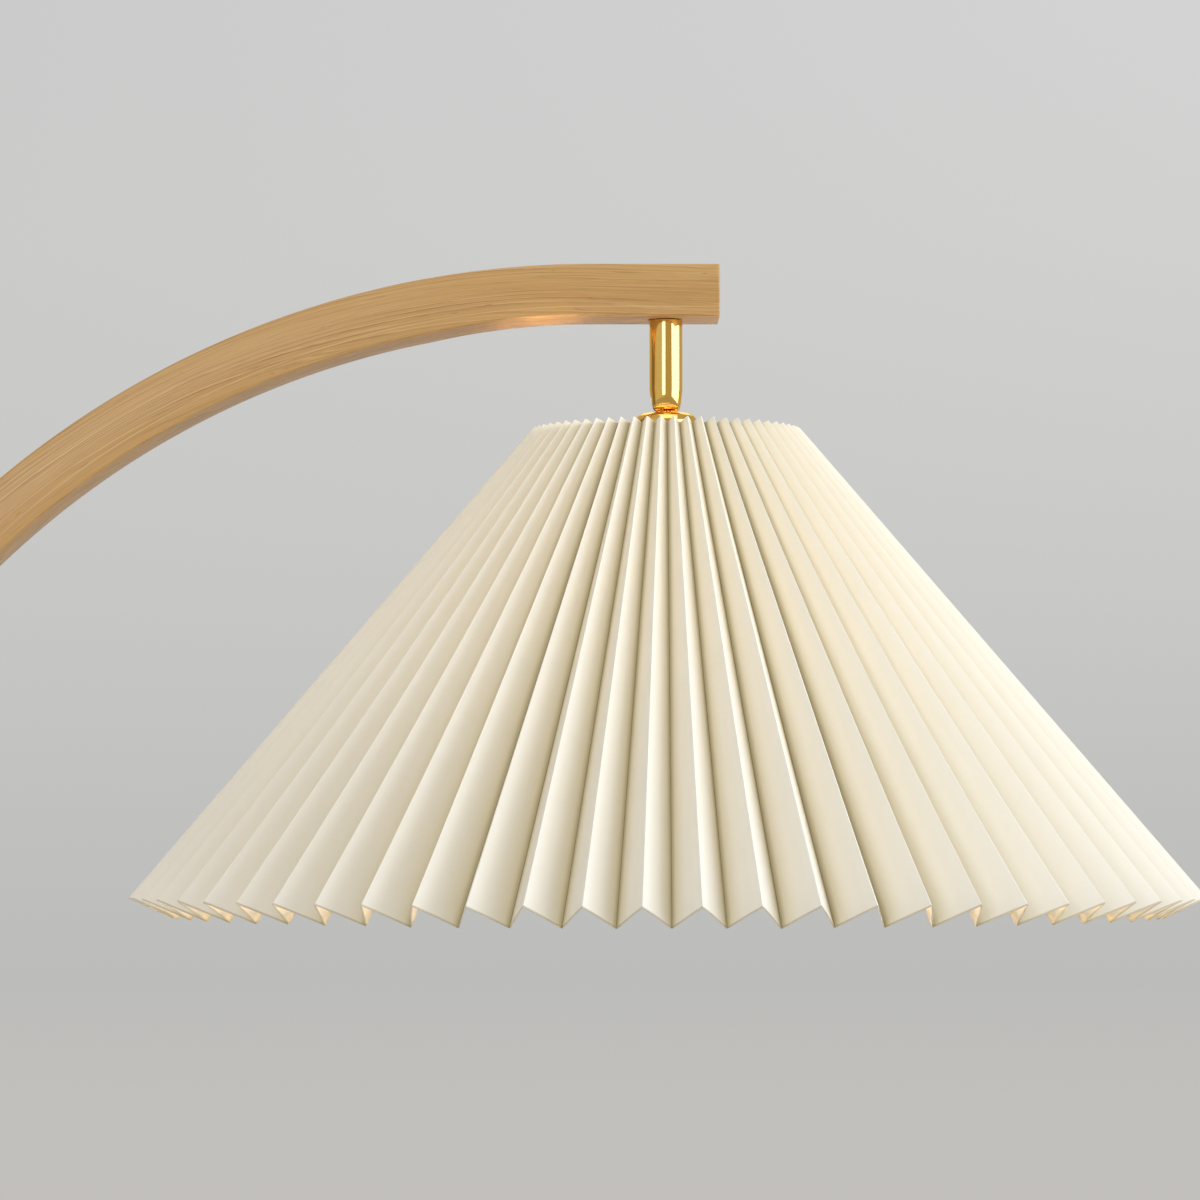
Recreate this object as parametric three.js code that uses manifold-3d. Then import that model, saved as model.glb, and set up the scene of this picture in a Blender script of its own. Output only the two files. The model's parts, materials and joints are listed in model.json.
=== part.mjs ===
// Arc floor lamp with a pleated shade, as an assembly of separate pieces.
//
// Frame: millimetres, +Z up. The origin is the centre of the foot pad's underside, on the floor.
// +X points from the stem towards the free end of the arm. The stem and the arm lie in the XZ plane.
//
// A bent laminated wood stem rises from a turned wood base, bows backwards, and arches over to a level
// arm. A slotted brass barrel under the arm turns about its own axis, and holds a ball whose hollow neck
// carries the lampholder. The lampholder's shade rings clamp the fitter of a wire frame, which carries a
// pleated fabric shade.
import * as THREE from "three";
import { mergeVertices } from "three/addons/utils/BufferGeometryUtils.js";
import Module from "manifold-3d";

const wasm = await Module();
wasm.setup();

// ---------------------------------------------------------------- driving dimensions
const GAP = 0.3; // clearance between touching pieces
const AXIS_X = 200; // axis of the barrel, lampholder and shade
const TOP_Z = 1500; // top of the arm
const STEM_T = 23.3; // stem, in the plane of the bend
const TIP_T = 22; // level end of the arm, whose underside is planed flat for the swivel
const STEM_W = 31; // stem, across
const UNDER_Z = TOP_Z - TIP_T; // underside of the arm's level end
const ARM_END_X = AXIS_X + 22.5;
const ARCH_R = 372; // centreline radius of the arch
const ARCH_X = AXIS_X - 32; // centre of the arch
const ARCH_Z = TOP_Z - STEM_T / 2 - ARCH_R;
const PLANE_RUN = 70; // the planed underside runs out into the arch over this length
const BOW_ANGLE = (22.8 * Math.PI) / 180; // greatest lean of the stem
const FOOT_R = 700; // centreline radius just above the base
const STEM_FOOT_Z = 15.7; // lower end of the stem
const FOOT_STRAIGHT_Z = 99.9; // the stem is straight and upright up to here
const GROOVE_W = 6.4;
const GROOVE_D = 8;
const FLEX_R = 1.9; // lamp flex
const FLEX_OFF = 5.2 - STEM_T / 2; // flex, off the stem's centreline towards the hollow side

const BASE_R = 150;
const BASE_TOP = 27.3;
const BASE_BOTTOM = 2.3;
const WEIGHT_R = 130;
const WEIGHT_TOP = 15.3;
const PAD_R = 144;
const PAD_T = 2;
const COLLAR_R = 30;
const COLLAR_T = 4;
const BOLT_Y = 8.5;
const CHANNEL_Z = 12.3; // flex inside the base

const BALL_Z = 1447.4; // centre of the ball joint
const BALL_R = 5.0;
const BARREL_R = 7.0;
const BARREL_BORE_R = 5.5;
const LIP_Z = 1439.2; // lower end of the barrel
const CUP_TOP = 1438.1;
const NECK_R = 2.1;
const NECK_BORE_R = 1.35;
const NECK_FLEX_R = 1.0; // the flex, slimmed to pass the swivel and the neck
const SLOT_W = 5.0;
const SLOT_TOP = BALL_Z - 1.0; // crown of the slot's round end

const HEM_Z = 1234.3; // lower end of the outer folds
const SHADE_H = 197.2; // outer folds, from hem to top
const PLEATS = 64;
const FOLD_PHASE = -0.056;
const OUTER_HEM_R = 225;
const INNER_HEM_R = 207.5;
const INNER_HEM_DROP = 8.2; // inner folds reach this much lower at the hem
const OUTER_TOP_R = 56.9;
const INNER_TOP_R = 52.9;
const INNER_TOP_DROP = 2.4;
const SKIN = 1.6; // radial thickness of the pleated skin
const WIRE_R = 1.6; // rings
const RIB_R = 1.3;
const RIBS = 6;

// ---------------------------------------------------------------- helpers
// A geometry as a solid: shared vertices merged, collapsed faces dropped, faces turned outwards.
function solid(geometry) {
  const g = new THREE.BufferGeometry().setAttribute(
    "position",
    geometry.getAttribute("position"),
  );
  if (geometry.index) g.setIndex(geometry.index);
  const merged = mergeVertices(g, 1e-4);
  const p = merged.attributes.position.array;
  const index = merged.index.array;
  let tris = [];
  let volume = 0;
  for (let i = 0; i < index.length; i += 3) {
    const [a, b, c] = [index[i], index[i + 1], index[i + 2]];
    if (a === b || b === c || a === c) continue;
    tris.push([a, b, c]);
    const [A, B, C] = [a, b, c].map((v) =>
      new THREE.Vector3().fromArray(p, v * 3),
    );
    volume += A.dot(B.cross(C)) / 6;
  }
  if (volume < 0) tris = tris.map(([a, b, c]) => [a, c, b]);
  return new wasm.Manifold(
    new wasm.Mesh({
      numProp: 3,
      vertProperties: new Float32Array(p),
      triVerts: new Uint32Array(tris.flat()),
    }),
  );
}

function geometryOf(s) {
  const m = s.getMesh();
  const g = new THREE.BufferGeometry();
  g.setAttribute(
    "position",
    new THREE.BufferAttribute(new Float32Array(m.vertProperties), 3),
  );
  g.setIndex(new THREE.BufferAttribute(new Uint32Array(m.triVerts), 1));
  const flat = g.toNonIndexed();
  flat.computeVertexNormals();
  return flat;
}

// A turned piece about a vertical axis. profile is [radius, z] pairs that start and end on the axis,
// or close on themselves.
function turned(profile, segments = 24, x = 0, y = 0, phase = 0) {
  const g = new THREE.LatheGeometry(
    profile.map(([r, z]) => new THREE.Vector2(r, z)),
    segments,
  );
  g.rotateX(Math.PI / 2);
  g.rotateZ(phase);
  g.translate(x, y, 0);
  return solid(g);
}

// A ring or tube about a vertical axis.
function sleeve(inner, outer, z0, z1, segments = 24, x = 0, y = 0) {
  return turned(
    [
      [inner, z0],
      [outer, z0],
      [outer, z1],
      [inner, z1],
      [inner, z0],
    ],
    segments,
    x,
    y,
  );
}

function rod(radius, z0, z1, segments = 24, x = 0, y = 0) {
  return turned(
    [
      [0, z0],
      [radius, z0],
      [radius, z1],
      [0, z1],
    ],
    segments,
    x,
    y,
  );
}

function block(x0, x1, y0, y1, z0, z1) {
  const g = new THREE.BoxGeometry(x1 - x0, y1 - y0, z1 - z0);
  g.translate((x0 + x1) / 2, (y0 + y1) / 2, (z0 + z1) / 2);
  return solid(g);
}

// A round bar between two points.
function bar(a, b, radius, sides = 8) {
  const A = new THREE.Vector3(...a);
  const B = new THREE.Vector3(...b);
  const g = new THREE.CylinderGeometry(radius, radius, A.distanceTo(B), sides);
  g.applyQuaternion(
    new THREE.Quaternion().setFromUnitVectors(
      new THREE.Vector3(0, 1, 0),
      B.clone().sub(A).normalize(),
    ),
  );
  const mid = A.add(B).multiplyScalar(0.5);
  g.translate(mid.x, mid.y, mid.z);
  return solid(g);
}

// A smooth curve that is stepped through evenly from one given point to the next, so that the points
// set how finely each bend is divided.
class Route extends THREE.CatmullRomCurve3 {
  getPointAt(u, target) {
    return this.getPoint(u, target);
  }
  getTangentAt(u, target) {
    return this.getTangent(u, target);
  }
  getSpacedPoints(steps) {
    return this.getPoints(steps);
  }
}

// A round tube along a route.
function tube(points, radius, sides) {
  const curve = new Route(
    points.map((p) => new THREE.Vector3(...p)),
    false,
    "centripetal",
  );
  const steps = points.length - 1;
  const section = new THREE.Shape();
  for (let i = 0; i < sides; i++) {
    const a = (i / sides) * 2 * Math.PI;
    if (i) section.lineTo(radius * Math.cos(a), radius * Math.sin(a));
    else section.moveTo(radius, 0);
  }
  section.closePath();
  return solid(
    new THREE.ExtrudeGeometry(section, {
      steps,
      extrudePath: curve,
      bevelEnabled: false,
    }),
  );
}

// ---------------------------------------------------------------- the stem's centreline
// Points in the XZ plane with the unit normal that points to the convex side.
const LEFT_X = ARCH_X - ARCH_R;
const BOW_R =
  (ARCH_Z - FOOT_STRAIGHT_Z) / Math.sin(BOW_ANGLE) - FOOT_R;
const FOOT_X =
  LEFT_X + (FOOT_R + BOW_R) * (1 - Math.cos(BOW_ANGLE));
const line = [];
function put(x, z, nx, nz) {
  line.push({ x, z, nx, nz });
}
put(FOOT_X, STEM_FOOT_Z, -1, 0);
for (let i = 0; i <= 8; i++) {
  const a = (BOW_ANGLE * i) / 8;
  put(
    FOOT_X - FOOT_R * (1 - Math.cos(a)),
    FOOT_STRAIGHT_Z + FOOT_R * Math.sin(a),
    -Math.cos(a),
    -Math.sin(a),
  );
}
const bowX = LEFT_X + BOW_R;
for (let i = 1; i <= 12; i++) {
  const a = BOW_ANGLE * (1 - i / 12);
  put(
    bowX - BOW_R * Math.cos(a),
    ARCH_Z - BOW_R * Math.sin(a),
    -Math.cos(a),
    -Math.sin(a),
  );
}
for (let i = 1; i <= 22; i++) {
  const a = (Math.PI / 2) * (i / 22);
  put(
    ARCH_X - ARCH_R * Math.cos(a),
    ARCH_Z + ARCH_R * Math.sin(a),
    -Math.cos(a),
    Math.sin(a),
  );
}
put(ARM_END_X, ARCH_Z + ARCH_R, 0, 1);

const off = (p, d) => [p.x + p.nx * d, p.z + p.nz * d];

// A strip of the stem between two offsets from the centreline, width across, between two of its points.
function strip(points, inner, outer, width) {
  const shape = new THREE.Shape();
  points.forEach((p, i) =>
    i ? shape.lineTo(...off(p, outer)) : shape.moveTo(...off(p, outer)),
  );
  [...points].reverse().forEach((p) => shape.lineTo(...off(p, inner)));
  shape.closePath();
  const g = new THREE.ExtrudeGeometry(shape, {
    depth: width,
    bevelEnabled: false,
  });
  g.rotateX(Math.PI / 2);
  g.translate(0, width / 2, 0);
  return solid(g);
}

const parts = [];
function add(name, s, material) {
  parts.push({ name, s, material });
}
const finish = (color, roughness, metalness = 0) =>
  new THREE.MeshStandardMaterial({ color, roughness, metalness });
const wood = finish(0xc69a62, 0.55);
const brass = finish(0xd9a441, 0.2, 1);
const steel = finish(0x9a9a98, 0.35, 1);
const iron = finish(0x2c2c2c, 0.7, 0.6);
const fabric = finish(0xefe8d2, 0.85);
const wire = finish(0xf2f0ea, 0.45);
const ceramic = finish(0xf0ede4, 0.4);
const black = finish(0x222222, 0.6);
const felt = finish(0x3a3836, 0.95);
const sheath = finish(0xe9e4d4, 0.6);
const nickel = finish(0xc9c6bf, 0.25, 1);
const opal = finish(0xfff4dc, 0.3);

// ---------------------------------------------------------------- base
add(
  "foot_pad",
  turned([[0, 0], [PAD_R, 0], [PAD_R, PAD_T], [0, PAD_T]], 48),
  felt,
);

const boltHoles = [-BOLT_Y, BOLT_Y].map((y) =>
  rod(2.8, 0, 60, 16, FOOT_X, y),
);
let weight = turned(
  [
    [0, BASE_BOTTOM],
    [WEIGHT_R - 1, BASE_BOTTOM],
    [WEIGHT_R, BASE_BOTTOM + 1],
    [WEIGHT_R, WEIGHT_TOP - 1],
    [WEIGHT_R - 1, WEIGHT_TOP],
    [0, WEIGHT_TOP],
  ],
  48,
);
for (const h of boltHoles) weight = weight.subtract(h);
for (const y of [-BOLT_Y, BOLT_Y])
  weight = weight.subtract(rod(5.2, 0, 7.3, 16, FOOT_X, y));
weight = weight.subtract(block(-140, 12, -3, 3, CHANNEL_Z - 3, 20));
add("base_weight", weight, iron);

let disc = turned(
  [
    [0, WEIGHT_TOP + GAP],
    [WEIGHT_R + 0.6, WEIGHT_TOP + GAP],
    [WEIGHT_R + 0.6, BASE_BOTTOM],
    [BASE_R - 1.5, BASE_BOTTOM],
    [BASE_R, BASE_BOTTOM + 1.5],
    [BASE_R, BASE_TOP - 6],
    [BASE_R - 1.7, BASE_TOP - 1.7],
    [BASE_R - 6, BASE_TOP],
    [0, BASE_TOP],
  ],
  48,
);
const mortise = block(
  FOOT_X - STEM_T / 2 - GAP,
  FOOT_X + STEM_T / 2 + GAP,
  -STEM_W / 2 - GAP,
  STEM_W / 2 + GAP,
  0,
  60,
);
const rearBore = (r, x0, x1) => {
  const g = new THREE.CylinderGeometry(r, r, x1 - x0, 16);
  g.rotateZ(Math.PI / 2);
  g.translate((x0 + x1) / 2, 0, CHANNEL_Z);
  return solid(g);
};
disc = disc.subtract(mortise).subtract(rearBore(4.4, -160, -120));
const screwX = [FOOT_X - 21, FOOT_X + 21];
for (const x of screwX) disc = disc.subtract(rod(1.9, 17, 40, 12, x, 0));
add("base_disc", disc, wood);

add(
  "cord_gland",
  rearBore(4.05, -151, -132)
    .add(rearBore(6.5, -153.2, -150.4))
    .subtract(rearBore(2.3, -160, -120)),
  black,
);

let collar = turned(
  [
    [0, BASE_TOP + GAP],
    [COLLAR_R, BASE_TOP + GAP],
    [COLLAR_R, BASE_TOP + COLLAR_T - 1],
    [COLLAR_R - 1, BASE_TOP + COLLAR_T],
    [0, BASE_TOP + COLLAR_T],
  ],
  36,
).subtract(mortise);
for (const x of screwX)
  collar = collar
    .subtract(rod(1.9, 17, 40, 12, x, 0))
    .subtract(
      turned(
        [
          [0, BASE_TOP + 1.4],
          [1.9, BASE_TOP + 1.4],
          [4.2, BASE_TOP + COLLAR_T + 0.5],
          [0, BASE_TOP + COLLAR_T + 0.5],
        ],
        12,
        x,
        0,
      ),
    );
add("stem_collar", collar, brass);
screwX.forEach((x, i) => {
  const s = turned(
    [
      [0, 18],
      [0.7, 18.4],
      [1.5, 21],
      [1.5, BASE_TOP + 1.6],
      [3.3, BASE_TOP + COLLAR_T - 0.1],
      [0, BASE_TOP + COLLAR_T - 0.1],
    ],
    12,
    x,
    0,
  ).subtract(
    block(
      x - 5,
      x + 5,
      -0.4,
      0.4,
      BASE_TOP + COLLAR_T - 1,
      BASE_TOP + COLLAR_T + 1,
    ),
  );
  add(i ? "collar_screw_front" : "collar_screw_rear", s, brass);
});

// ---------------------------------------------------------------- stem fixings
[-BOLT_Y, BOLT_Y].forEach((y, i) => {
  const side = i ? "left" : "right";
  add(
    "stem_bolt_" + side,
    turned(
      [
        [0, 2.7],
        [4.2, 2.7],
        [4.4, 3.1],
        [4.4, 5.7],
        [2.4, 5.7],
        [2.4, 49],
        [1.8, 50],
        [0, 50],
      ],
      16,
      FOOT_X,
      y,
    ).subtract(
      turned([[0, 0], [2.4, 0], [2.4, 4.6], [0, 4.6]], 6, FOOT_X, y),
    ),
    steel,
  );
  add(
    "bolt_washer_" + side,
    sleeve(2.75, 4.9, 6.0, 7.0, 16, FOOT_X, y),
    steel,
  );
  add(
    "stem_insert_" + side,
    sleeve(2.75, 3.6, 16.4, 34, 16, FOOT_X, y),
    steel,
  );
});

// ---------------------------------------------------------------- stem
const half = STEM_T / 2;
// what is planed off the underside: flat under the level end, then an arc that meets the arch's hollow side
const innerR = ARCH_R - half;
const planeCurve =
  1 / (2 * innerR) + (STEM_T - TIP_T) / (PLANE_RUN * PLANE_RUN);
const planed = new THREE.Shape();
planed.moveTo(ARM_END_X + 5, UNDER_Z);
for (let i = 0; i <= 10; i++) {
  const d = ((PLANE_RUN + 2) * i) / 10;
  planed.lineTo(ARCH_X - d, UNDER_Z - d * d * planeCurve);
}
planed.lineTo(ARCH_X - PLANE_RUN - 2, UNDER_Z - 25);
planed.lineTo(ARM_END_X + 5, UNDER_Z - 25);
planed.closePath();
const planingShape = new THREE.ExtrudeGeometry(planed, {
  depth: STEM_W + 4,
  bevelEnabled: false,
});
planingShape.rotateX(Math.PI / 2);
planingShape.translate(0, STEM_W / 2 + 2, 0);
const planing = solid(planingShape);
let stem = strip(line, -half, half, STEM_W);
const grooved = line.map((p, i) =>
  i === 0
    ? { ...p, z: p.z - 5 }
    : i === line.length - 1
      ? { ...p, x: AXIS_X - 2 }
      : p,
);
stem = stem.subtract(strip(grooved, -half - 4, -half + GROOVE_D, GROOVE_W));
for (const y of [-BOLT_Y, BOLT_Y])
  stem = stem
    .subtract(rod(3.9, 0, 36, 16, FOOT_X, y))
    .subtract(rod(2.8, 30, 54, 16, FOOT_X, y));
// pocket for the insert, and the way over it for the flex
stem = stem
  .subtract(rod(6.7, UNDER_Z - 5, TOP_Z - 4.5, 20, AXIS_X, 0))
  .subtract(
    block(
      AXIS_X - 32,
      AXIS_X,
      -GROOVE_W / 2,
      GROOVE_W / 2,
      UNDER_Z - 5,
      TOP_Z - 4.5,
    ),
  )
  .subtract(
    block(
      FOOT_X - 5,
      FOOT_X + half + 1,
      -GROOVE_W / 2,
      GROOVE_W / 2,
      STEM_FOOT_Z - 5,
      STEM_FOOT_Z + 10,
    ),
  );
add("arc_stem", stem.subtract(planing), wood);

const covered = line.map((p, i) =>
  i === 0
    ? { ...p, z: BASE_TOP + COLLAR_T + 0.6 }
    : i === line.length - 1
      ? { ...p, x: AXIS_X - 7.4 }
      : p,
);
add(
  "channel_cover",
  strip(covered, -half, -half + 2.4, GROOVE_W - 2 * GAP).subtract(planing),
  wood,
);

const run = line.slice(1, -1).map((p) => {
  const [x, z] = off(p, FLEX_OFF);
  return [x, 0, z];
});
const flexFootX = FOOT_X - FLEX_OFF;
const armFlexZ = ARCH_Z + ARCH_R + FLEX_OFF;
// quarter bend from one direction to another, radius r about a centre, angles in degrees
const bend = (cx, cz, r, from, to, n) =>
  Array.from({ length: n + 1 }, (_, i) => {
    const a = ((from + ((to - from) * i) / n) * Math.PI) / 180;
    return [cx + r * Math.cos(a), 0, cz + r * Math.sin(a)];
  });
add(
  "stem_flex",
  tube(
    [
      [-149, 0, CHANNEL_Z],
      [-100, 0, CHANNEL_Z],
      [-50, 0, CHANNEL_Z],
      [flexFootX - 20, 0, CHANNEL_Z],
      ...bend(flexFootX - 8, CHANNEL_Z + 8, 8, -90, 0, 6),
      [flexFootX, 0, 40],
      ...run,
      [AXIS_X - 33, 0, armFlexZ],
      [AXIS_X - 26, 0, armFlexZ + 2],
      [AXIS_X - 17, 0, armFlexZ + 7.4],
      [AXIS_X - 11, 0, armFlexZ + 9.6],
      ...bend(AXIS_X - 6, armFlexZ + 4, 6, 90, 0, 5),
      [AXIS_X, 0, armFlexZ - 4],
      [AXIS_X, 0, 1464],
    ],
    FLEX_R,
    8,
  ),
  sheath,
);

// ---------------------------------------------------------------- swivel
add("tip_insert", sleeve(4.2, 6.4, UNDER_Z, UNDER_Z + 9, 20, AXIS_X), brass);
add(
  "swivel_nipple",
  sleeve(2.3, 3.9, 1463.6, UNDER_Z + 9, 16, AXIS_X),
  brass,
);
add("nipple_nut", sleeve(4.2, 5.1, 1464, 1467, 16, AXIS_X), brass);

const R = (z) => Math.sqrt(5.45 * 5.45 - (z - BALL_Z) * (z - BALL_Z));
let barrel = turned(
  [
    [BARREL_BORE_R, UNDER_Z - GAP],
    [BARREL_BORE_R, BALL_Z],
    [R(BALL_Z - 1.6), BALL_Z - 1.6],
    [R(BALL_Z - 2.8), BALL_Z - 2.8],
    [R(BALL_Z - 3.6), BALL_Z - 3.6],
    [4.35, BALL_Z - 5],
    [4.4, LIP_Z],
    [4.65, LIP_Z],
    [5.5, LIP_Z + 0.55],
    [5.95, LIP_Z + 1.3],
    [6.35, LIP_Z + 3],
    [BARREL_R, BALL_Z + 0.8],
    [BARREL_R, UNDER_Z - GAP],
    [BARREL_BORE_R, UNDER_Z - GAP],
  ],
  32,
  AXIS_X,
);
// the neck's slot: open at the lip, round at its upper end, on the stem's side only
const slotCentre = SLOT_TOP - SLOT_W / 2;
barrel = barrel
  .subtract(block(AXIS_X - 10, AXIS_X, -SLOT_W / 2, SLOT_W / 2, LIP_Z - 3, slotCentre))
  .subtract(bar([AXIS_X - 10, 0, slotCentre], [AXIS_X, 0, slotCentre], SLOT_W / 2, 24));
add("swivel_barrel", barrel, brass);
add(
  "barrel_bushing",
  sleeve(4.2, 5.2, 1468.6, UNDER_Z - 0.6, 16, AXIS_X),
  brass,
);
add("swivel_washer", sleeve(4.2, 5.2, 1467.3, 1468.3, 16, AXIS_X), steel);

const spring = [];
const COILS = 4;
for (let i = 0; i <= COILS * 8; i++) {
  const a = (i / 8) * 2 * Math.PI;
  spring.push([
    AXIS_X + 3.9 * Math.cos(a),
    3.9 * Math.sin(a),
    1455.9 + (1462.9 - 1455.9) * (i / (COILS * 8)),
  ]);
}
add("swivel_spring", tube(spring, 0.5, 5), steel);
add(
  "ball_seat",
  turned(
    [
      [4.25, BALL_Z + 3.2],
      [5.15, BALL_Z + 3.2],
      [5.15, BALL_Z + 7.6],
      [2.3, BALL_Z + 7.6],
      [2.3, BALL_Z + 4.85],
      [3.2, BALL_Z + 4.3],
      [4.25, BALL_Z + 3.2],
    ],
    16,
    AXIS_X,
  ),
  ceramic,
);
add("swivel_flex", rod(NECK_FLEX_R, 1453.2, 1463.3, 8, AXIS_X), sheath);

// ---------------------------------------------------------------- ball and lampholder
const ballProfile = [];
for (let i = 0; i <= 8; i++) {
  // from the neck round to the flat top
  const a = -Math.acos(NECK_R / BALL_R) + (i / 8) * (Math.acos(NECK_R / BALL_R) + 1.12);
  ballProfile.push([BALL_R * Math.cos(a), BALL_Z + BALL_R * Math.sin(a)]);
}
add(
  "swivel_ball",
  turned(
    [
      [NECK_BORE_R, 1430],
      [NECK_R, 1430],
      ...ballProfile,
      [NECK_BORE_R, BALL_Z + BALL_R * Math.sin(1.12)],
      [NECK_BORE_R, 1430],
    ],
    24,
    AXIS_X,
  ),
  brass,
);
add("head_flex", rod(NECK_FLEX_R, 1424.4, BALL_Z + 4, 8, AXIS_X), sheath);
add("cup_nut", sleeve(2.9, 5.6, 1433.6, 1436.7, 6, AXIS_X), steel);
add(
  "socket_cup",
  turned(
    [
      [2.45, CUP_TOP - 1],
      [8.6, CUP_TOP - 1],
      [10.2, CUP_TOP - 1.4],
      [11.6, CUP_TOP - 2.4],
      [12.5, CUP_TOP - 4],
      [12.9, CUP_TOP - 6.5],
      [12.9, 1426.6],
      [14, 1423.8],
      [18.4, 1420.4],
      [19, 1418.9],
      [19, 1408.4],
      [20, 1408.4],
      [20, 1419.4],
      [19.2, 1421.4],
      [15, 1424.4],
      [13.9, 1427.2],
      [13.85, CUP_TOP - 6],
      [13.35, CUP_TOP - 3.3],
      [12.3, CUP_TOP - 1.4],
      [10.7, CUP_TOP - 0.3],
      [8.9, CUP_TOP],
      [2.45, CUP_TOP],
      [2.45, CUP_TOP - 1],
    ],
    22,
    AXIS_X,
  ),
  brass,
);
const terminalX = [AXIS_X - 9, AXIS_X + 9];
let core = turned(
  [
    [0, 1405.6],
    [13.9, 1405.6],
    [13.9, 1408.7],
    [18.6, 1408.7],
    [18.6, 1416.5],
    [17.6, 1417.6],
    [0, 1417.6],
  ],
  24,
  AXIS_X,
);
for (const x of terminalX) core = core.subtract(rod(1.5, 1411, 1420, 10, x, 0));
core = core.subtract(block(AXIS_X - 2.6, AXIS_X + 2.6, -9, -4.4, 1400, 1412));
add("socket_core", core, ceramic);
add(
  "centre_contact",
  block(AXIS_X - 2.2, AXIS_X + 2.2, -8.4, 4.5, 1403.9, 1404.6).add(
    block(AXIS_X - 2.2, AXIS_X + 2.2, -8.4, -7.6, 1404.3, 1410),
  ),
  brass,
);
terminalX.forEach((x, i) =>
  add(
    i ? "terminal_screw_live" : "terminal_screw_neutral",
    turned(
      [
        [0, 1411.6],
        [1.15, 1411.6],
        [1.15, 1417.9],
        [2.4, 1417.9],
        [2.4, 1419.6],
        [0, 1419.6],
      ],
      10,
      x,
      0,
    ).subtract(block(x - 4, x + 4, -0.35, 0.35, 1419, 1421)),
    brass,
  ),
);
[-1, 1].forEach((s) =>
  add(
    s > 0 ? "lead_live" : "lead_neutral",
    bar([AXIS_X + s * 1.1, 0, 1423.6], [AXIS_X + s * 8.4, 0, 1421.2], 0.8, 6),
    s > 0 ? finish(0x7a4a25, 0.5) : finish(0x2a5fa8, 0.5),
  ),
);
add("screw_shell", sleeve(13.5, 14.1, 1381, 1405.2, 24, AXIS_X), nickel);
add(
  "socket_sleeve",
  turned(
    [
      [14.5, 1378],
      [18.9, 1378],
      [19.5, 1378.8],
      [19.5, 1408],
      [14.5, 1408],
      [14.5, 1378],
    ],
    28,
    AXIS_X,
  ),
  black,
);
const knurled = (z0, z1) =>
  turned(
    [
      [19.9, z0],
      [27.6, z0],
      [28.4, z0 + 0.8],
      [28.4, z1 - 0.8],
      [27.6, z1],
      [19.9, z1],
      [19.9, z0],
    ],
    28,
    AXIS_X,
  );
add("shade_ring_upper", knurled(1399.2, 1402.7), black);
add("shade_ring_lower", knurled(1393.3, 1396.8), black);

// ---------------------------------------------------------------- bulb
add("bulb_contact", rod(4.2, 1401.7, 1403.3, 12, AXIS_X), nickel);
add(
  "bulb_screw_cap",
  turned(
    [
      [0, 1379.6],
      [13, 1379.6],
      [13, 1399],
      [9.5, 1401.4],
      [0, 1401.4],
    ],
    24,
    AXIS_X,
  ),
  nickel,
);
add(
  "bulb_housing",
  turned(
    [
      [0, 1345.2],
      [22.3, 1345.2],
      [21.4, 1352],
      [18.2, 1363],
      [14.6, 1372],
      [13, 1376.4],
      [13, 1379.3],
      [0, 1379.3],
    ],
    24,
    AXIS_X,
  ),
  finish(0xf4f2ec, 0.4),
);
const globe = [];
for (let i = 0; i <= 9; i++) {
  const a = -Math.PI / 2 + (i / 9) * (Math.PI / 2 + 0.7205);
  globe.push([30 * Math.cos(a), 1325 + 30 * Math.sin(a)]);
}
globe[0][0] = 0;
const inside = [...globe]
  .reverse()
  .map(([r, z]) => [(r * 29) / 30, 1325 + ((z - 1325) * 29) / 30]);
inside[0][1] = globe[9][1];
add("bulb_globe", turned([...globe, ...inside], 16, AXIS_X), opal);

// ---------------------------------------------------------------- shade frame
const INNER_SLOPE =
  (INNER_HEM_R - INNER_TOP_R) / (SHADE_H - INNER_TOP_DROP + INNER_HEM_DROP);
// radius of the wires' centres at a height, just inside the skin
const wireR = (z) =>
  INNER_HEM_R -
  SKIN -
  INNER_SLOPE * (z - HEM_Z + INNER_HEM_DROP) -
  2.6;
const TOP_RING_Z = HEM_Z + 193.4;
const BOTTOM_RING_Z = HEM_Z + 2.6;
const ring = (z) => {
  const g = new THREE.TorusGeometry(wireR(z), WIRE_R, 6, z > 1400 ? 24 : 48);
  g.translate(AXIS_X, 0, z);
  return solid(g);
};
add("top_ring", ring(TOP_RING_Z), wire);
add("bottom_ring", ring(BOTTOM_RING_Z), wire);
const slope = Math.atan(INNER_SLOPE);
const at = (angle, r, z) => [
  AXIS_X + r * Math.cos(angle),
  r * Math.sin(angle),
  z,
];
for (let i = 0; i < RIBS; i++) {
  const a = Math.PI / 6 + (i * 2 * Math.PI) / RIBS;
  const dz = (WIRE_R + 0.5) * Math.cos(slope);
  add(
    "shade_rib_" + (i + 1),
    bar(
      at(a, wireR(BOTTOM_RING_Z + dz), BOTTOM_RING_Z + dz),
      at(a, wireR(TOP_RING_Z - dz), TOP_RING_Z - dz),
      RIB_R,
      8,
    ),
    wire,
  );
}
add("shade_fitter", sleeve(20.6, 30, 1397.1, 1398.9, 28, AXIS_X), wire);
for (let i = 0; i < 3; i++) {
  const a = Math.PI / 6 + (i * 2 * Math.PI) / 3;
  add(
    "spider_arm_" + (i + 1),
    bar(at(a, 31.9, 1398.8), at(a, wireR(TOP_RING_Z) - 1.4, TOP_RING_Z - 2.7), 1.4, 8),
    wire,
  );
}

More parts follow.
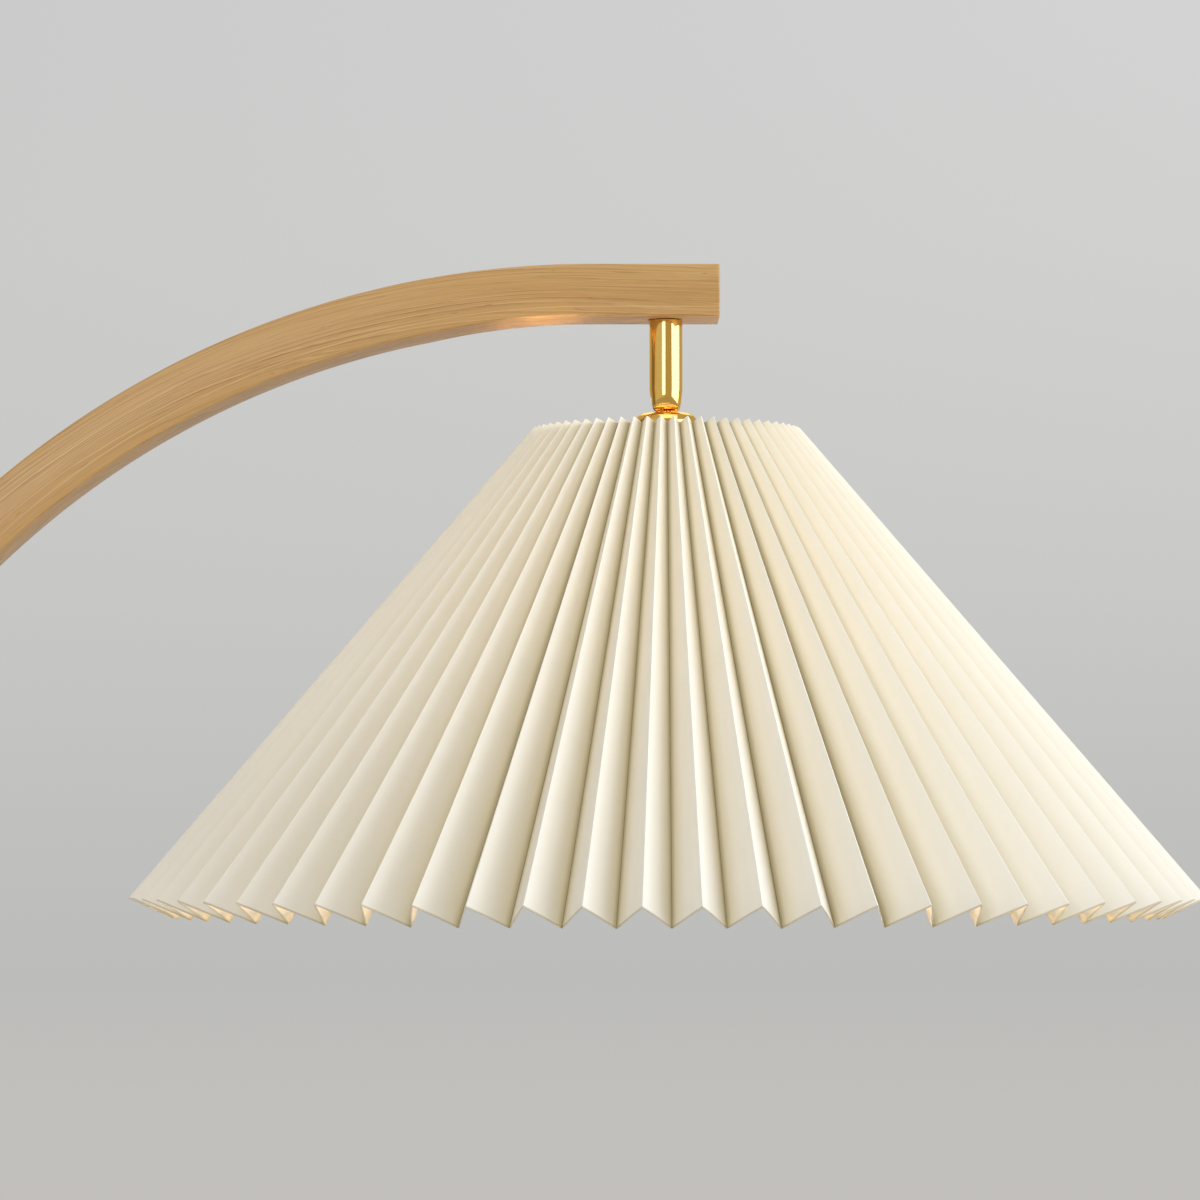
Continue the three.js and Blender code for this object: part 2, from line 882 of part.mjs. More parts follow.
// ---------------------------------------------------------------- pleated skin
// A thin turned cone with two columns to each pleat, whose every other column is then folded in.
{
  const zTop = HEM_Z + SHADE_H;
  const g = new THREE.LatheGeometry(
    [
      [OUTER_HEM_R, HEM_Z],
      [OUTER_TOP_R, zTop],
      [OUTER_TOP_R - SKIN, zTop],
      [OUTER_HEM_R - SKIN, HEM_Z],
      [OUTER_HEM_R, HEM_Z],
    ].map(([r, z]) => new THREE.Vector2(r, z)),
    2 * PLEATS,
  );
  g.rotateX(Math.PI / 2);
  const p = g.attributes.position;
  for (let i = 0; i < p.count; i++) {
    const column = Math.floor(i / 5) % (2 * PLEATS);
    const corner = i % 5;
    const top = corner === 1 || corner === 2;
    const inner = corner === 2 || corner === 3;
    const fold = column % 2 === 1;
    const r =
      (fold
        ? top
          ? INNER_TOP_R
          : INNER_HEM_R
        : top
          ? OUTER_TOP_R
          : OUTER_HEM_R) - (inner ? SKIN : 0);
    const z =
      (top ? zTop : HEM_Z) -
      (fold ? (top ? INNER_TOP_DROP : INNER_HEM_DROP) : 0);
    // an outer fold stands FOLD_PHASE round from the -Y direction
    const a = -Math.PI / 2 + FOLD_PHASE + (column * Math.PI) / PLEATS;
    p.setXYZ(i, AXIS_X + r * Math.cos(a), r * Math.sin(a), z);
  }
  add("shade_pleats", solid(g), fabric);
}

// ---------------------------------------------------------------- assembly
const lamp = new THREE.Group();
for (const { name, s, material } of parts) {
  const mesh = new THREE.Mesh(geometryOf(s), material);
  mesh.name = name;
  lamp.add(mesh);
}
export default lamp;
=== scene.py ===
import json
import math

import bmesh
import bpy
import numpy as np
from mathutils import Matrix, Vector


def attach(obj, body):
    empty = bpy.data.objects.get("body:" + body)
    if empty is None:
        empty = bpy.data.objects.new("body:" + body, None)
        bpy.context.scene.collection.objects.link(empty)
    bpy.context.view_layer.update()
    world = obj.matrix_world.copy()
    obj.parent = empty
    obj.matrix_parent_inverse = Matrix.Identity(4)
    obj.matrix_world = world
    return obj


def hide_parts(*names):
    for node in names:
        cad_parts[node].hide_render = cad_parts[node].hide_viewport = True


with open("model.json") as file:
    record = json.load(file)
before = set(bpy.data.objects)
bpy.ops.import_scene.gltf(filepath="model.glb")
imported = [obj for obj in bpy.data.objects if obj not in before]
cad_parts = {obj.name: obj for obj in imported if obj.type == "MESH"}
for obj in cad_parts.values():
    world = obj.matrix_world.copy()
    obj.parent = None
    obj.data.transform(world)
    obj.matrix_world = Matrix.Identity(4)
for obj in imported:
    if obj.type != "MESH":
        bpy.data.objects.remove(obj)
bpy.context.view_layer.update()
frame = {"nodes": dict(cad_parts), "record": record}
MM = 0.001
rng = np.random.default_rng(7)

# ------------------------------------------------------------------ dimensions, as in the CAD
AX = 200.0
TOP = 1500.0
T, W = 23.3, 31.0
TIP_T, PLANE_RUN = 22.0, 70.0
GLUE = 6.5  # the lowest joint between two layers of wood, below the centreline
UNDER = TOP - TIP_T
ARM_END = AX + 22.5
ARCH_R = 372.0
ARCH_X, ARCH_Z = AX - 32.0, TOP - T / 2 - ARCH_R
BOW = math.radians(22.8)
FOOT_R = 700.0
FOOT_Z, STRAIGHT_Z = 15.7, 99.9
BALL = 1447.4
LIP, CUP = 1439.2, 1438.1
HEM = 1234.3
PLEATS = 64

# ------------------------------------------------------------------ camera
cam = bpy.data.objects.new("camera", bpy.data.cameras.new("camera"))
bpy.context.scene.collection.objects.link(cam)
cam.location = ((AX - 27.94) * MM, -1.6722, 1.2627)
cam.rotation_euler = (math.radians(93.30), 0, 0)
cam.data.lens, cam.data.sensor_width = 119.0, 36.0
cam.data.clip_start, cam.data.clip_end = 0.05, 100
bpy.context.scene.camera = cam


# ------------------------------------------------------------------ node helpers
class Nodes:
    def __init__(self, tree):
        self.t = tree
        tree.nodes.clear()

    def put(self, kind, _out=0, _set=None, **inputs):
        n = self.t.nodes.new("ShaderNode" + kind)
        for k, v in (_set or {}).items():
            setattr(n, k, v)
        for k, v in inputs.items():
            key = int(k[1:]) if k[0] == "i" and k[1:].isdigit() else k.replace("_", " ")
            s = n.inputs[key]
            if isinstance(v, bpy.types.NodeSocket):
                self.t.links.new(v, s)
            else:
                s.default_value = v
        return n if _out is None else n.outputs[_out]

    def math(self, op, a, b=0.0, clamp=False):
        return self.put("Math", 0, {"operation": op, "use_clamp": clamp}, i0=a, i1=b)

    def scale(self, vector, by):
        return self.put("VectorMath", 0, {"operation": "MULTIPLY"}, i0=vector, i1=by)

    def noise(self, vector, scale=1.0, detail=2.0, rough=0.5, distortion=0.0):
        return self.put("TexNoise", 0, None, Vector=vector, Scale=scale, Detail=detail, Roughness=rough, Distortion=distortion)

    def remap(self, v, a, b, c=0.0, d=1.0, smooth=False):
        return self.put("MapRange", 0, {"interpolation_type": "SMOOTHSTEP" if smooth else "LINEAR"}, Value=v, From_Min=a, From_Max=b, To_Min=c, To_Max=d)

    def mix(self, f, a, b, blend="MIX"):
        n = self.t.nodes.new("ShaderNodeMix")
        n.data_type, n.blend_type = "RGBA", blend
        for s, v in ((n.inputs[0], f), (n.inputs[6], a), (n.inputs[7], b)):
            if isinstance(v, bpy.types.NodeSocket):
                self.t.links.new(v, s)
            else:
                s.default_value = (*v, 1.0) if hasattr(v, "__len__") and len(v) == 3 else v
        return n.outputs[2]

    def ramp(self, f, stops):
        n = self.t.nodes.new("ShaderNodeValToRGB")
        while len(n.color_ramp.elements) < len(stops):
            n.color_ramp.elements.new(0.5)
        for e, (p, c) in zip(n.color_ramp.elements, stops):
            e.position, e.color = p, (*c, 1.0)
        self.t.links.new(f, n.inputs[0])
        return n.outputs[0]

    def bump(self, height, strength, distance):
        return self.put("Bump", 0, None, Height=height, Strength=strength, Distance=distance)


def new_material(name):
    m = bpy.data.materials.new(name)
    m.use_nodes = True
    return m, Nodes(m.node_tree)


def finish_material(n, **inputs):
    p = n.put("BsdfPrincipled", None, None, **inputs)
    out = n.put("OutputMaterial", None)
    n.t.links.new(p.outputs[0], out.inputs[0])
    return p


# ------------------------------------------------------------------ materials
def wood_material():
    """Light laminated wood. The attribute grain holds metres along the fibres, across the layers and across the face."""
    m, n = new_material("laminated_wood")
    g = n.put("Attribute", 1, {"attribute_name": "grain"})
    sep = n.put("SeparateXYZ", None, None, Vector=g)
    along, across, face = sep.outputs
    # growth lines: a sharp dark edge after a slow fade, drifting to either side along the length
    wide = n.noise(n.scale(g, (2.4, 60.0, 30.0)), 1.0, 2.5, 0.55)
    fine = n.noise(n.scale(g, (11.0, 330.0, 160.0)), 1.0, 3.0, 0.6)
    slant = n.math("MULTIPLY", n.math("ADD", across, n.math("MULTIPLY", along, 0.030)), 520.0)
    phase = n.math("ADD", slant, n.math("ADD", n.math("MULTIPLY", wide, 6.0), n.math("MULTIPLY", fine, 0.9)))
    ring = n.math("FRACT", phase)
    late = n.math("MULTIPLY", n.remap(ring, 0.66, 0.93, 0.0, 1.0, True), n.remap(ring, 0.94, 1.0, 1.0, 0.0, True))
    early = n.math("MULTIPLY", n.remap(ring, 0.0, 0.06, 0.0, 1.0, True), n.remap(ring, 0.08, 0.22, 1.0, 0.0, True))
    weight = n.remap(n.noise(n.scale(g, (4.0, 260.0, 60.0)), 1.0, 2.0), 0.40, 0.68, 0.03, 1.0)
    v = n.put("CombineXYZ", 0, None, X=along, Y=n.math("MULTIPLY", phase, 1 / 540.0), Z=face)
    fibre = n.noise(n.scale(v, (20.0, 2100.0, 1500.0)), 1.0, 3.0, 0.68)
    streak = n.noise(n.scale(v, (5.0, 1150.0, 500.0)), 1.0, 2.5, 0.62)
    band = n.noise(n.scale(g, (1.4, 75.0, 40.0)), 1.0, 1.5)
    pores = n.noise(n.scale(v, (60.0, 2600.0, 2600.0)), 1.0, 1.0, 0.4)
    flecks = n.noise(n.scale(g, (130.0, 1300.0, 620.0)), 1.0, 0.0)
    base = n.ramp(n.remap(band, 0.3, 0.7), [(0.0, (0.486, 0.262, 0.076)), (0.5, (0.518, 0.296, 0.098)), (1.0, (0.540, 0.318, 0.116))])
    base = n.mix(n.math("MULTIPLY", late, n.math("MULTIPLY", weight, 0.72)), base, (0.272, 0.122, 0.029))
    base = n.mix(n.math("MULTIPLY", early, n.math("MULTIPLY", weight, 0.50)), base, (0.700, 0.480, 0.240))
    base = n.mix(n.remap(streak, 0.53, 0.72, 0.0, 0.42, True), base, (0.345, 0.170, 0.044))
    base = n.mix(n.remap(fibre, 0.53, 0.72, 0.0, 0.52, True), base, (0.310, 0.155, 0.046))
    base = n.mix(n.remap(fibre, 0.46, 0.30, 0.0, 0.44, True), base, (0.670, 0.450, 0.210))
    base = n.mix(n.remap(pores, 0.68, 0.77, 0.0, 0.45, True), base, (0.215, 0.100, 0.026))
    base = n.mix(n.remap(flecks, 0.855, 0.875, 0.0, 0.60, True), base, (0.150, 0.062, 0.018))
    glue = n.math("ABSOLUTE", n.math("ADD", across, GLUE * MM))  # the lowest joint between two layers
    base = n.mix(n.remap(glue, 0.00010, 0.00034, 0.34, 0.0, True), base, (0.740, 0.540, 0.290))
    height = n.math("ADD", n.math("MULTIPLY", fibre, 0.5), n.math("ADD", n.math("MULTIPLY", pores, -0.4), n.math("MULTIPLY", late, 0.3)))
    rough = n.remap(n.math("ADD", fibre, streak), 0.7, 1.3, 0.40, 0.52)
    finish_material(n, Base_Color=base, Roughness=rough, Normal=n.bump(height, 0.22, 0.00009), Specular_IOR_Level=0.50, Coat_Weight=0.28, Coat_Roughness=0.26)
    return m


def metal_material(name, color, rough, wear, spread, turned=True, edge=(1.0, 1.0, 1.0), coat=0.0):
    """A polished or plated metal: faint turning marks, hairline scratches, a breath of tarnish."""
    m, n = new_material(name)
    p = n.put("TexCoord", 3)
    lines = n.noise(n.scale(p, (60.0, 60.0, 5200.0) if turned else (900.0, 900.0, 900.0)), 1.0, 2.0)
    cloud = n.noise(n.scale(p, (45.0, 45.0, 30.0)), 1.0, 4.0, 0.6)
    fine = n.noise(n.scale(p, (2600.0, 2600.0, 180.0)), 1.0, 2.0)
    dark = tuple(c * 0.72 for c in color)
    base = n.mix(n.remap(cloud, 0.42, 0.72, 0.0, wear, True), color, dark)
    r = n.math("ADD", n.remap(cloud, 0.3, 0.75, rough, rough + spread), n.math("MULTIPLY", fine, spread * 0.5))
    h = n.math("ADD", n.math("MULTIPLY", lines, 0.6), n.math("MULTIPLY", fine, 0.4))
    finish_material(n, Base_Color=base, Metallic=1.0, Roughness=r, Normal=n.bump(h, 0.10, 0.00002), Specular_Tint=(*edge, 1.0), Coat_Weight=coat, Coat_Roughness=0.05)
    return m


def coat_material(name, color, rough, grain, depth, metallic=0.0, spread=0.12, coat=0.0, dust=0.35):
    """Powder coat, moulded plastic, casting skin or foam: a grained skin with uneven sheen."""
    m, n = new_material(name)
    p = n.put("TexCoord", 3)
    skin = n.noise(p, grain, 3.0, 0.6)
    cloud = n.noise(p, 22.0, 3.0, 0.6)
    worn = tuple(min(1.0, c * 1.18 + 0.012) for c in color)
    dark = tuple(c * 0.86 for c in color)
    base = n.mix(n.remap(cloud, 0.35, 0.7, 0.0, dust, True), color, worn)
    base = n.mix(n.remap(skin, 0.55, 0.8, 0.0, 0.5, True), base, dark)
    finish_material(n, Base_Color=base, Metallic=metallic, Roughness=n.remap(cloud, 0.3, 0.7, rough, rough + spread), Normal=n.bump(skin, 0.35, depth), Coat_Weight=coat)
    return m


CLOTH_HEM, CLOTH_TOP, CLOTH_LEN = 0.0205, 0.0052, 0.259  # a panel's width at the hem and at the top, and its slope length


def fabric_material():
    """Ivory pleating cloth: a fine plain weave that lets a little light through. The attribute cloth holds metres round
    the hem, along the slope and from the nearest inner fold."""
    m, n = new_material("pleated_cloth")
    c = n.put("Attribute", 1, {"attribute_name": "cloth"})
    sep = n.put("SeparateXYZ", None, None, Vector=c)
    u, v, gap = sep.outputs
    width = n.remap(v, 0.0, CLOTH_LEN, CLOTH_HEM, CLOTH_TOP)
    deep = n.math("SUBTRACT", 1.0, n.math("DIVIDE", gap, width), True)  # 0 at the ridge, 1 in the valley
    # mask for a narrow line of painted shade in each inner fold
    line = n.remap(gap, 0.00005, 0.00062, 1.0, 0.0, True)
    # mask for a wide band of painted shade on both sides of each inner fold
    valley_shade = n.remap(gap, 0.0, 0.0034, 1.0, 0.0, True)
    # mask for a faint line of painted shade along a secondary crease beside the inner fold
    crease = n.math("MULTIPLY", n.remap(gap, 0.00235, 0.00275, 0.0, 1.0, True), n.remap(gap, 0.00275, 0.00335, 1.0, 0.0, True))
    warp = n.math("SINE", n.math("MULTIPLY", u, 2 * math.pi / 0.00044))
    weft = n.math("SINE", n.math("MULTIPLY", v, 2 * math.pi / 0.00048))
    weave = n.math("MULTIPLY", warp, weft)
    flat = n.scale(c, (1.0, 1.0, 0.0))
    slub = n.noise(n.scale(flat, (9.0, 1500.0, 0.0)), 1.0, 2.0)
    slub2 = n.noise(n.scale(flat, (1500.0, 12.0, 0.0)), 1.0, 2.0)
    cloud = n.noise(n.scale(flat, (16.0, 16.0, 0.0)), 1.0, 3.0)
    # painted light along the slope: the cloth is darker and greyer towards the hem (painted shade) and yellower towards
    # the top (painted warm lamp glow)
    base = n.ramp(n.remap(v, 0.0, CLOTH_LEN), [(0.0, (0.888, 0.853, 0.775)), (0.5, (0.938, 0.890, 0.780)), (1.0, (0.955, 0.888, 0.738))])
    base = n.mix(n.remap(cloud, 0.35, 0.7, 0.0, 0.35), base, (0.915, 0.868, 0.750))
    base = n.mix(n.remap(slub, 0.55, 0.75, 0.0, 0.10), base, (0.80, 0.73, 0.56))
    base = n.mix(n.remap(slub2, 0.55, 0.75, 0.0, 0.10), base, (0.97, 0.94, 0.84))
    # painted highlight: the cloth is whitened along each outer fold, where the key light catches the ridge
    base = n.mix(n.remap(deep, 0.0, 0.30, 0.45, 0.0, True), base, (0.958, 0.940, 0.890))
    # painted shade: tan that deepens into each inner fold, standing in for shade and light bounced inside the fold
    base = n.mix(n.remap(deep, 0.40, 1.0, 0.0, 0.62, True), base, (0.745, 0.668, 0.450))
    # painted shade: a wider dark band on both sides of each inner fold
    base = n.mix(n.math("MULTIPLY", valley_shade, 0.62), base, (0.475, 0.402, 0.205))
    # painted shade: a faint darker line along the secondary crease
    base = n.mix(n.math("MULTIPLY", crease, 0.12), base, (0.66, 0.56, 0.34))
    # painted shade: a narrow dark line in each inner fold
    base = n.mix(n.math("MULTIPLY", line, 0.62), base, (0.22, 0.165, 0.060))
    base = n.mix(n.remap(v, 0.0003, 0.0009, 0.55, 0.0, True), base, (0.42, 0.34, 0.19))  # the cut edge of the hem
    h = n.math("ADD", n.math("MULTIPLY", weave, 0.35), n.math("ADD", n.math("MULTIPLY", slub, 0.4), n.math("MULTIPLY", slub2, 0.3)))
    normal = n.bump(h, 0.16, 0.00005)
    p = n.put("BsdfPrincipled", 0, None, Base_Color=base, Roughness=n.remap(cloud, 0.3, 0.7, 0.58, 0.70), Normal=normal, Sheen_Weight=0.08, Sheen_Roughness=0.5, Specular_IOR_Level=0.35)
    # painted shade: the light let through is darkened at the inner folds by the same masks as the painted fold shade
    t = n.put("BsdfTranslucent", 0, None, Color=n.mix(n.math("MAXIMUM", line, valley_shade), (0.93, 0.80, 0.56), (0.10, 0.07, 0.03)), Normal=normal)
    s = n.put("MixShader", 0, None, i0=0.055, i1=p, i2=t)
    out = n.put("OutputMaterial", None)
    n.t.links.new(s, out.inputs[0])
    return m


def globe_material():
    m, n = new_material("opal_globe")
    p = n.put("TexCoord", 3)
    cloud = n.noise(p, 60.0, 2.0)
    base = n.mix(n.remap(cloud, 0.3, 0.7), (0.92, 0.88, 0.80), (0.86, 0.80, 0.70))
    finish_material(n, Base_Color=base, Roughness=n.remap(cloud, 0.3, 0.7, 0.16, 0.26), Emission_Color=(1.0, 0.72, 0.42, 1.0), Emission_Strength=112.0, Normal=n.bump(cloud, 0.05, 0.0002))
    return m


M = {
    "oiled_wood": wood_material(),
    "polished_brass": metal_material("brass", (0.962, 0.604, 0.158), 0.032, 0.30, 0.02, edge=(1.0, 0.76, 0.38), coat=0.24),
    "plated_steel": metal_material("zinc_steel", (0.58, 0.58, 0.56), 0.28, 0.5, 0.14),
    "nickel": metal_material("nickel_plate", (0.72, 0.69, 0.63), 0.18, 0.4, 0.10),
    "weight_iron": coat_material("iron_casting", (0.040, 0.040, 0.042), 0.55, 900.0, 0.0004, 0.3, 0.2),
    "pleated_fabric": fabric_material(),
    "white_wire": coat_material("powder_coat", (0.80, 0.78, 0.72), 0.38, 1400.0, 0.00006, 0.0, 0.12, 0.1),
    "steatite": coat_material("steatite", (0.80, 0.77, 0.68), 0.45, 1600.0, 0.00005),
    "black_plastic": coat_material("thermoset", (0.018, 0.018, 0.019), 0.34, 1500.0, 0.00004, 0.0, 0.14, 0.0, 0.6),
    "pad_foam": coat_material("foam", (0.030, 0.030, 0.032), 0.88, 1800.0, 0.0004, 0.0, 0.08),
    "flex_sheath": coat_material("sheath", (0.78, 0.74, 0.63), 0.46, 700.0, 0.00004),
    "lead_brown": coat_material("brown_lead", (0.24, 0.10, 0.04), 0.40, 700.0, 0.00003),
    "lead_blue": coat_material("blue_lead", (0.06, 0.18, 0.48), 0.40, 700.0, 0.00003),
    "bulb_plastic": coat_material("bulb_shell", (0.84, 0.82, 0.77), 0.36, 1200.0, 0.00004),
    "opal_glass": globe_material(),
}
slots = {s["node"]: s["material_slot"] for s in frame["record"]["subparts"]}
body_of = {n: b for b, ns in frame["record"]["behaviour"]["bodies"].items() for n in ns}
for name, node in frame["nodes"].items():
    node.data.materials.clear()
    node.data.materials.append(M[slots[name]])
    if slots[name] == "oiled_wood":
        a = node.data.attributes.new("grain", "FLOAT_VECTOR", "POINT")
        a.data.foreach_set("vector", np.array([v.co for v in node.data.vertices], np.float32).ravel())


# ------------------------------------------------------------------ mesh helpers
def mesh_object(name, verts, faces):
    me = bpy.data.meshes.new(name)
    me.from_pydata((np.asarray(verts, float) * MM).tolist(), [], faces if isinstance(faces, list) else faces.tolist())
    ob = bpy.data.objects.new(name, me)
    bpy.context.scene.collection.objects.link(ob)
    return ob


def tidy(ob, sharp=34.0, merge=2e-7):
    bm = bmesh.new()
    bm.from_mesh(ob.data)
    bmesh.ops.remove_doubles(bm, verts=bm.verts, dist=merge)
    bmesh.ops.dissolve_degenerate(bm, edges=bm.edges, dist=merge)
    bmesh.ops.recalc_face_normals(bm, faces=bm.faces)
    bm.to_mesh(ob.data)
    bm.free()
    ob.data.shade_smooth()
    ob.data.set_sharp_from_angle(angle=math.radians(sharp))


def join(obs, name):
    """Several meshes as one, before any of them rides."""
    bm = bmesh.new()
    for o in obs:
        bm.from_mesh(o.data)
    me = bpy.data.meshes.new(name)
    bm.to_mesh(me)
    bm.free()
    for o in obs:
        bpy.data.objects.remove(o)
    ob = bpy.data.objects.new(name, me)
    bpy.context.scene.collection.objects.link(ob)
    return ob


def cut(ob, cutters, operation="DIFFERENCE"):
    for c in cutters:
        mod = ob.modifiers.new("cut", "BOOLEAN")
        mod.operation, mod.solver, mod.object = operation, "EXACT", c
        dg = bpy.context.evaluated_depsgraph_get()
        me = bpy.data.meshes.new_from_object(ob.evaluated_get(dg))
        ob.modifiers.clear()
        old, ob.data = ob.data, me
        me.name = ob.name
        bpy.data.meshes.remove(old)
        bpy.data.objects.remove(c)


def settle(ob, node, also=(), slot=None):
    """The finished piece takes the place of CAD nodes and rides on their body."""
    slot = slot or slots[node]
    ob.data.materials.clear()
    ob.data.materials.append(M[slot])
    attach(ob, body_of[node])
    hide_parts(node, *also)
    return ob


def rounded(points, radius, steps=4, closed=False):
    """A polyline of (r, z) with its corners rounded. radius is one number, or one for each point."""
    p = [np.array(q, float) for q in points]
    rad = radius if hasattr(radius, "__len__") else [radius] * len(p)
    out = []
    for i, c in enumerate(p):
        ends = (0, len(p) - 1)
        if rad[i] <= 0 or (not closed and i in ends):
            out.append(c)
            continue
        a, b = p[i - 1], p[(i + 1) % len(p)]
        da, db = a - c, b - c
        la, lb = np.linalg.norm(da), np.linalg.norm(db)
        if la < 1e-9 or lb < 1e-9:
            out.append(c)
            continue
        cosine = np.clip(da @ db / la / lb, -1, 1)
        half = math.acos(cosine) / 2
        if half > math.radians(86):
            out.append(c)
            continue
        d = min(rad[i] / max(math.tan(half), 1e-6), 0.46 * la, 0.46 * lb)
        s, e = c + da / la * d, c + db / lb * d
        for k in range(steps + 1):
            t = k / steps
            out.append((1 - t) ** 2 * s + 2 * t * (1 - t) * c + t * t * e)
    return np.array(out)


def lathe(name, profile, segments=72, x=AX, y=0.0, closed=False, shape=None):
    """A turned piece. An open profile starts and ends on the axis."""
    pr = np.asarray(profile, float)
    k = len(pr)
    a = np.arange(segments) / segments * 2 * math.pi
    r = np.broadcast_to(pr[:, 0][None, :], (segments, k)).copy()
    z = np.broadcast_to(pr[:, 1][None, :], (segments, k)).copy()
    if shape is not None:
        r, z = shape(a[:, None], r, z)
    v = np.stack([x + r * np.cos(a)[:, None], y + r * np.sin(a)[:, None], z], -1).reshape(-1, 3)
    i = np.arange(segments)[:, None] * k
    j = (np.arange(segments) + 1)[:, None] % segments * k
    cols = np.arange(k if closed else k - 1)[None, :]
    nxt = (cols + 1) % k
    faces = np.stack([i + cols, j + cols, j + nxt, i + nxt], -1).reshape(-1, 4)
    return mesh_object(name, v, faces)


def turned(name, profile, radius=0.3, segments=72, x=AX, y=0.0, closed=False, steps=4, shape=None, sharp=34.0):
    ob = lathe(name, rounded(profile, radius, steps, closed), segments, x, y, closed, shape)
    tidy(ob, sharp)
    return ob


def rod_mesh(name, r, z0, z1, x, y=0.0, segments=32):
    return turned(name, [(0, z0), (r, z0), (r, z1), (0, z1)], 0.0, segments, x, y)


def box_mesh(name, x0, x1, y0, y1, z0, z1):
    v = [(x, y, z) for x in (x0, x1) for y in (y0, y1) for z in (z0, z1)]
    ob = mesh_object(name, v, [[0, 1, 3, 2], [4, 6, 7, 5], [0, 4, 5, 1], [2, 3, 7, 6], [0, 2, 6, 4], [1, 5, 7, 3]])
    tidy(ob)
    return ob


def sweep(name, path, radius, sides=16, closed=False, cap=True, radii=None):
    """A round wire along points, with round ends."""
    p = np.asarray(path, float)
    k = len(p)
    if closed:
        tan = np.roll(p, -1, 0) - np.roll(p, 1, 0)
    else:
        tan = np.gradient(p, axis=0)
    tan /= np.linalg.norm(tan, axis=1)[:, None]
    up = np.array([0.0, 0.0, 1.0]) if abs(tan[0][2]) < 0.9 else np.array([0.0, 1.0, 0.0])
    ns = []
    cur = up - tan[0] * (up @ tan[0])
    for t in tan:
        cur = cur - t * (cur @ t)
        cur /= np.linalg.norm(cur)
        ns.append(cur.copy())
    ns = np.array(ns)
    bs = np.cross(tan, ns)
    rr = np.full(k, radius, float) if radii is None else np.asarray(radii, float)
    if not closed and cap:
        steps = 4
        pre, post = [], []
        for s in range(steps):
            f = math.pi / 2 * (s + 1e-3) / steps
            pre.append((p[0] - tan[0] * rr[0] * math.cos(f), rr[0] * math.sin(f)))
            post.append((p[-1] + tan[-1] * rr[-1] * math.cos(f), rr[-1] * math.sin(f)))
        p = np.vstack([[a for a, _ in pre], p, [a for a, _ in post[::-1]]])
        rr = np.concatenate([[b for _, b in pre], rr, [b for _, b in post[::-1]]])
        ns = np.vstack([[ns[0]] * steps, ns, [ns[-1]] * steps])
        bs = np.vstack([[bs[0]] * steps, bs, [bs[-1]] * steps])
        k = len(p)
    a = np.arange(sides) / sides * 2 * math.pi
    v = (p[:, None, :] + rr[:, None, None] * (np.cos(a)[None, :, None] * ns[:, None, :] + np.sin(a)[None, :, None] * bs[:, None, :])).reshape(-1, 3)
    faces = []
    for i in range(k if closed else k - 1):
        j = (i + 1) % k
        for c in range(sides):
            d = (c + 1) % sides
            faces.append([i * sides + c, i * sides + d, j * sides + d, j * sides + c])
    if not closed:
        faces.append(list(range(sides))[::-1])
        faces.append([(k - 1) * sides + c for c in range(sides)])
    ob = mesh_object(name, v, faces)
    tidy(ob, 60.0)
    return ob


# ------------------------------------------------------------------ the stem's centreline, finely divided
left_x = ARCH_X - ARCH_R
bow_r = (ARCH_Z - STRAIGHT_Z) / math.sin(BOW) - FOOT_R
foot_x = left_x + (FOOT_R + bow_r) * (1 - math.cos(BOW))
line = []
for z in np.linspace(FOOT_Z, STRAIGHT_Z, 22)[:-1]:
    line.append((foot_x, z, -1.0, 0.0))
for a in np.linspace(0, BOW, 60)[:-1]:
    line.append((foot_x - FOOT_R * (1 - math.cos(a)), STRAIGHT_Z + FOOT_R * math.sin(a), -math.cos(a), -math.sin(a)))
for a in np.linspace(BOW, 0, 120)[:-1]:
    line.append((left_x + bow_r - bow_r * math.cos(a), ARCH_Z - bow_r * math.sin(a), -math.cos(a), -math.sin(a)))
for a in np.linspace(0, math.pi / 2, 220)[:-1]:
    line.append((ARCH_X - ARCH_R * math.cos(a), ARCH_Z + ARCH_R * math.sin(a), -math.cos(a), math.sin(a)))
groove_end = AX - 2.0
cover_end = AX - 7.4
for x in sorted({*np.linspace(ARCH_X, ARM_END, 24), cover_end, groove_end}):
    line.append((x, ARCH_Z + ARCH_R, 0.0, 1.0))
line = np.array(line)
run = np.concatenate([[0], np.cumsum(np.hypot(*np.diff(line[:, :2], axis=0).T))])


def grain_along_stem(ob):
    """Writes metres along the stem, across its layers and across its face to each vertex."""
    co = np.array([v.co for v in ob.data.vertices], float) / MM
    best = np.zeros(len(co), int)
    for i in range(0, len(co), 4000):
        d = (co[i:i + 4000, None, 0] - line[None, :, 0]) ** 2 + (co[i:i + 4000, None, 2] - line[None, :, 1]) ** 2
        best[i:i + 4000] = d.argmin(1)
    l = line[best]
    dx, dz = co[:, 0] - l[:, 0], co[:, 2] - l[:, 1]
    across = dx * l[:, 2] + dz * l[:, 3]
    along = run[best] + dx * l[:, 3] - dz * l[:, 2]
    g = np.stack([along, across, co[:, 1]], 1).astype(np.float32) * MM
    a = ob.data.attributes.get("grain") or ob.data.attributes.new("grain", "FLOAT_VECTOR", "POINT")
    a.data.foreach_set("vector", g.ravel())


def grain_flat(ob, turn=0.0, shift=(0.0, 0.0, 0.0)):
    co = np.array([v.co for v in ob.data.vertices], float) + np.array(shift)
    c, s = math.cos(turn), math.sin(turn)
    g = np.stack([co[:, 0] * c + co[:, 1] * s, -co[:, 0] * s + co[:, 1] * c, co[:, 2]], 1).astype(np.float32)
    a = ob.data.attributes.get("grain") or ob.data.attributes.new("grain", "FLOAT_VECTOR", "POINT")
    a.data.foreach_set("vector", g.ravel())


def planed(x):
    """What is planed off the underside of the arm at a place along X."""
    d = max(ARCH_X - x, 0.0)
    return max(0.0, (T - TIP_T) * (1 - (d / PLANE_RUN) ** 2))


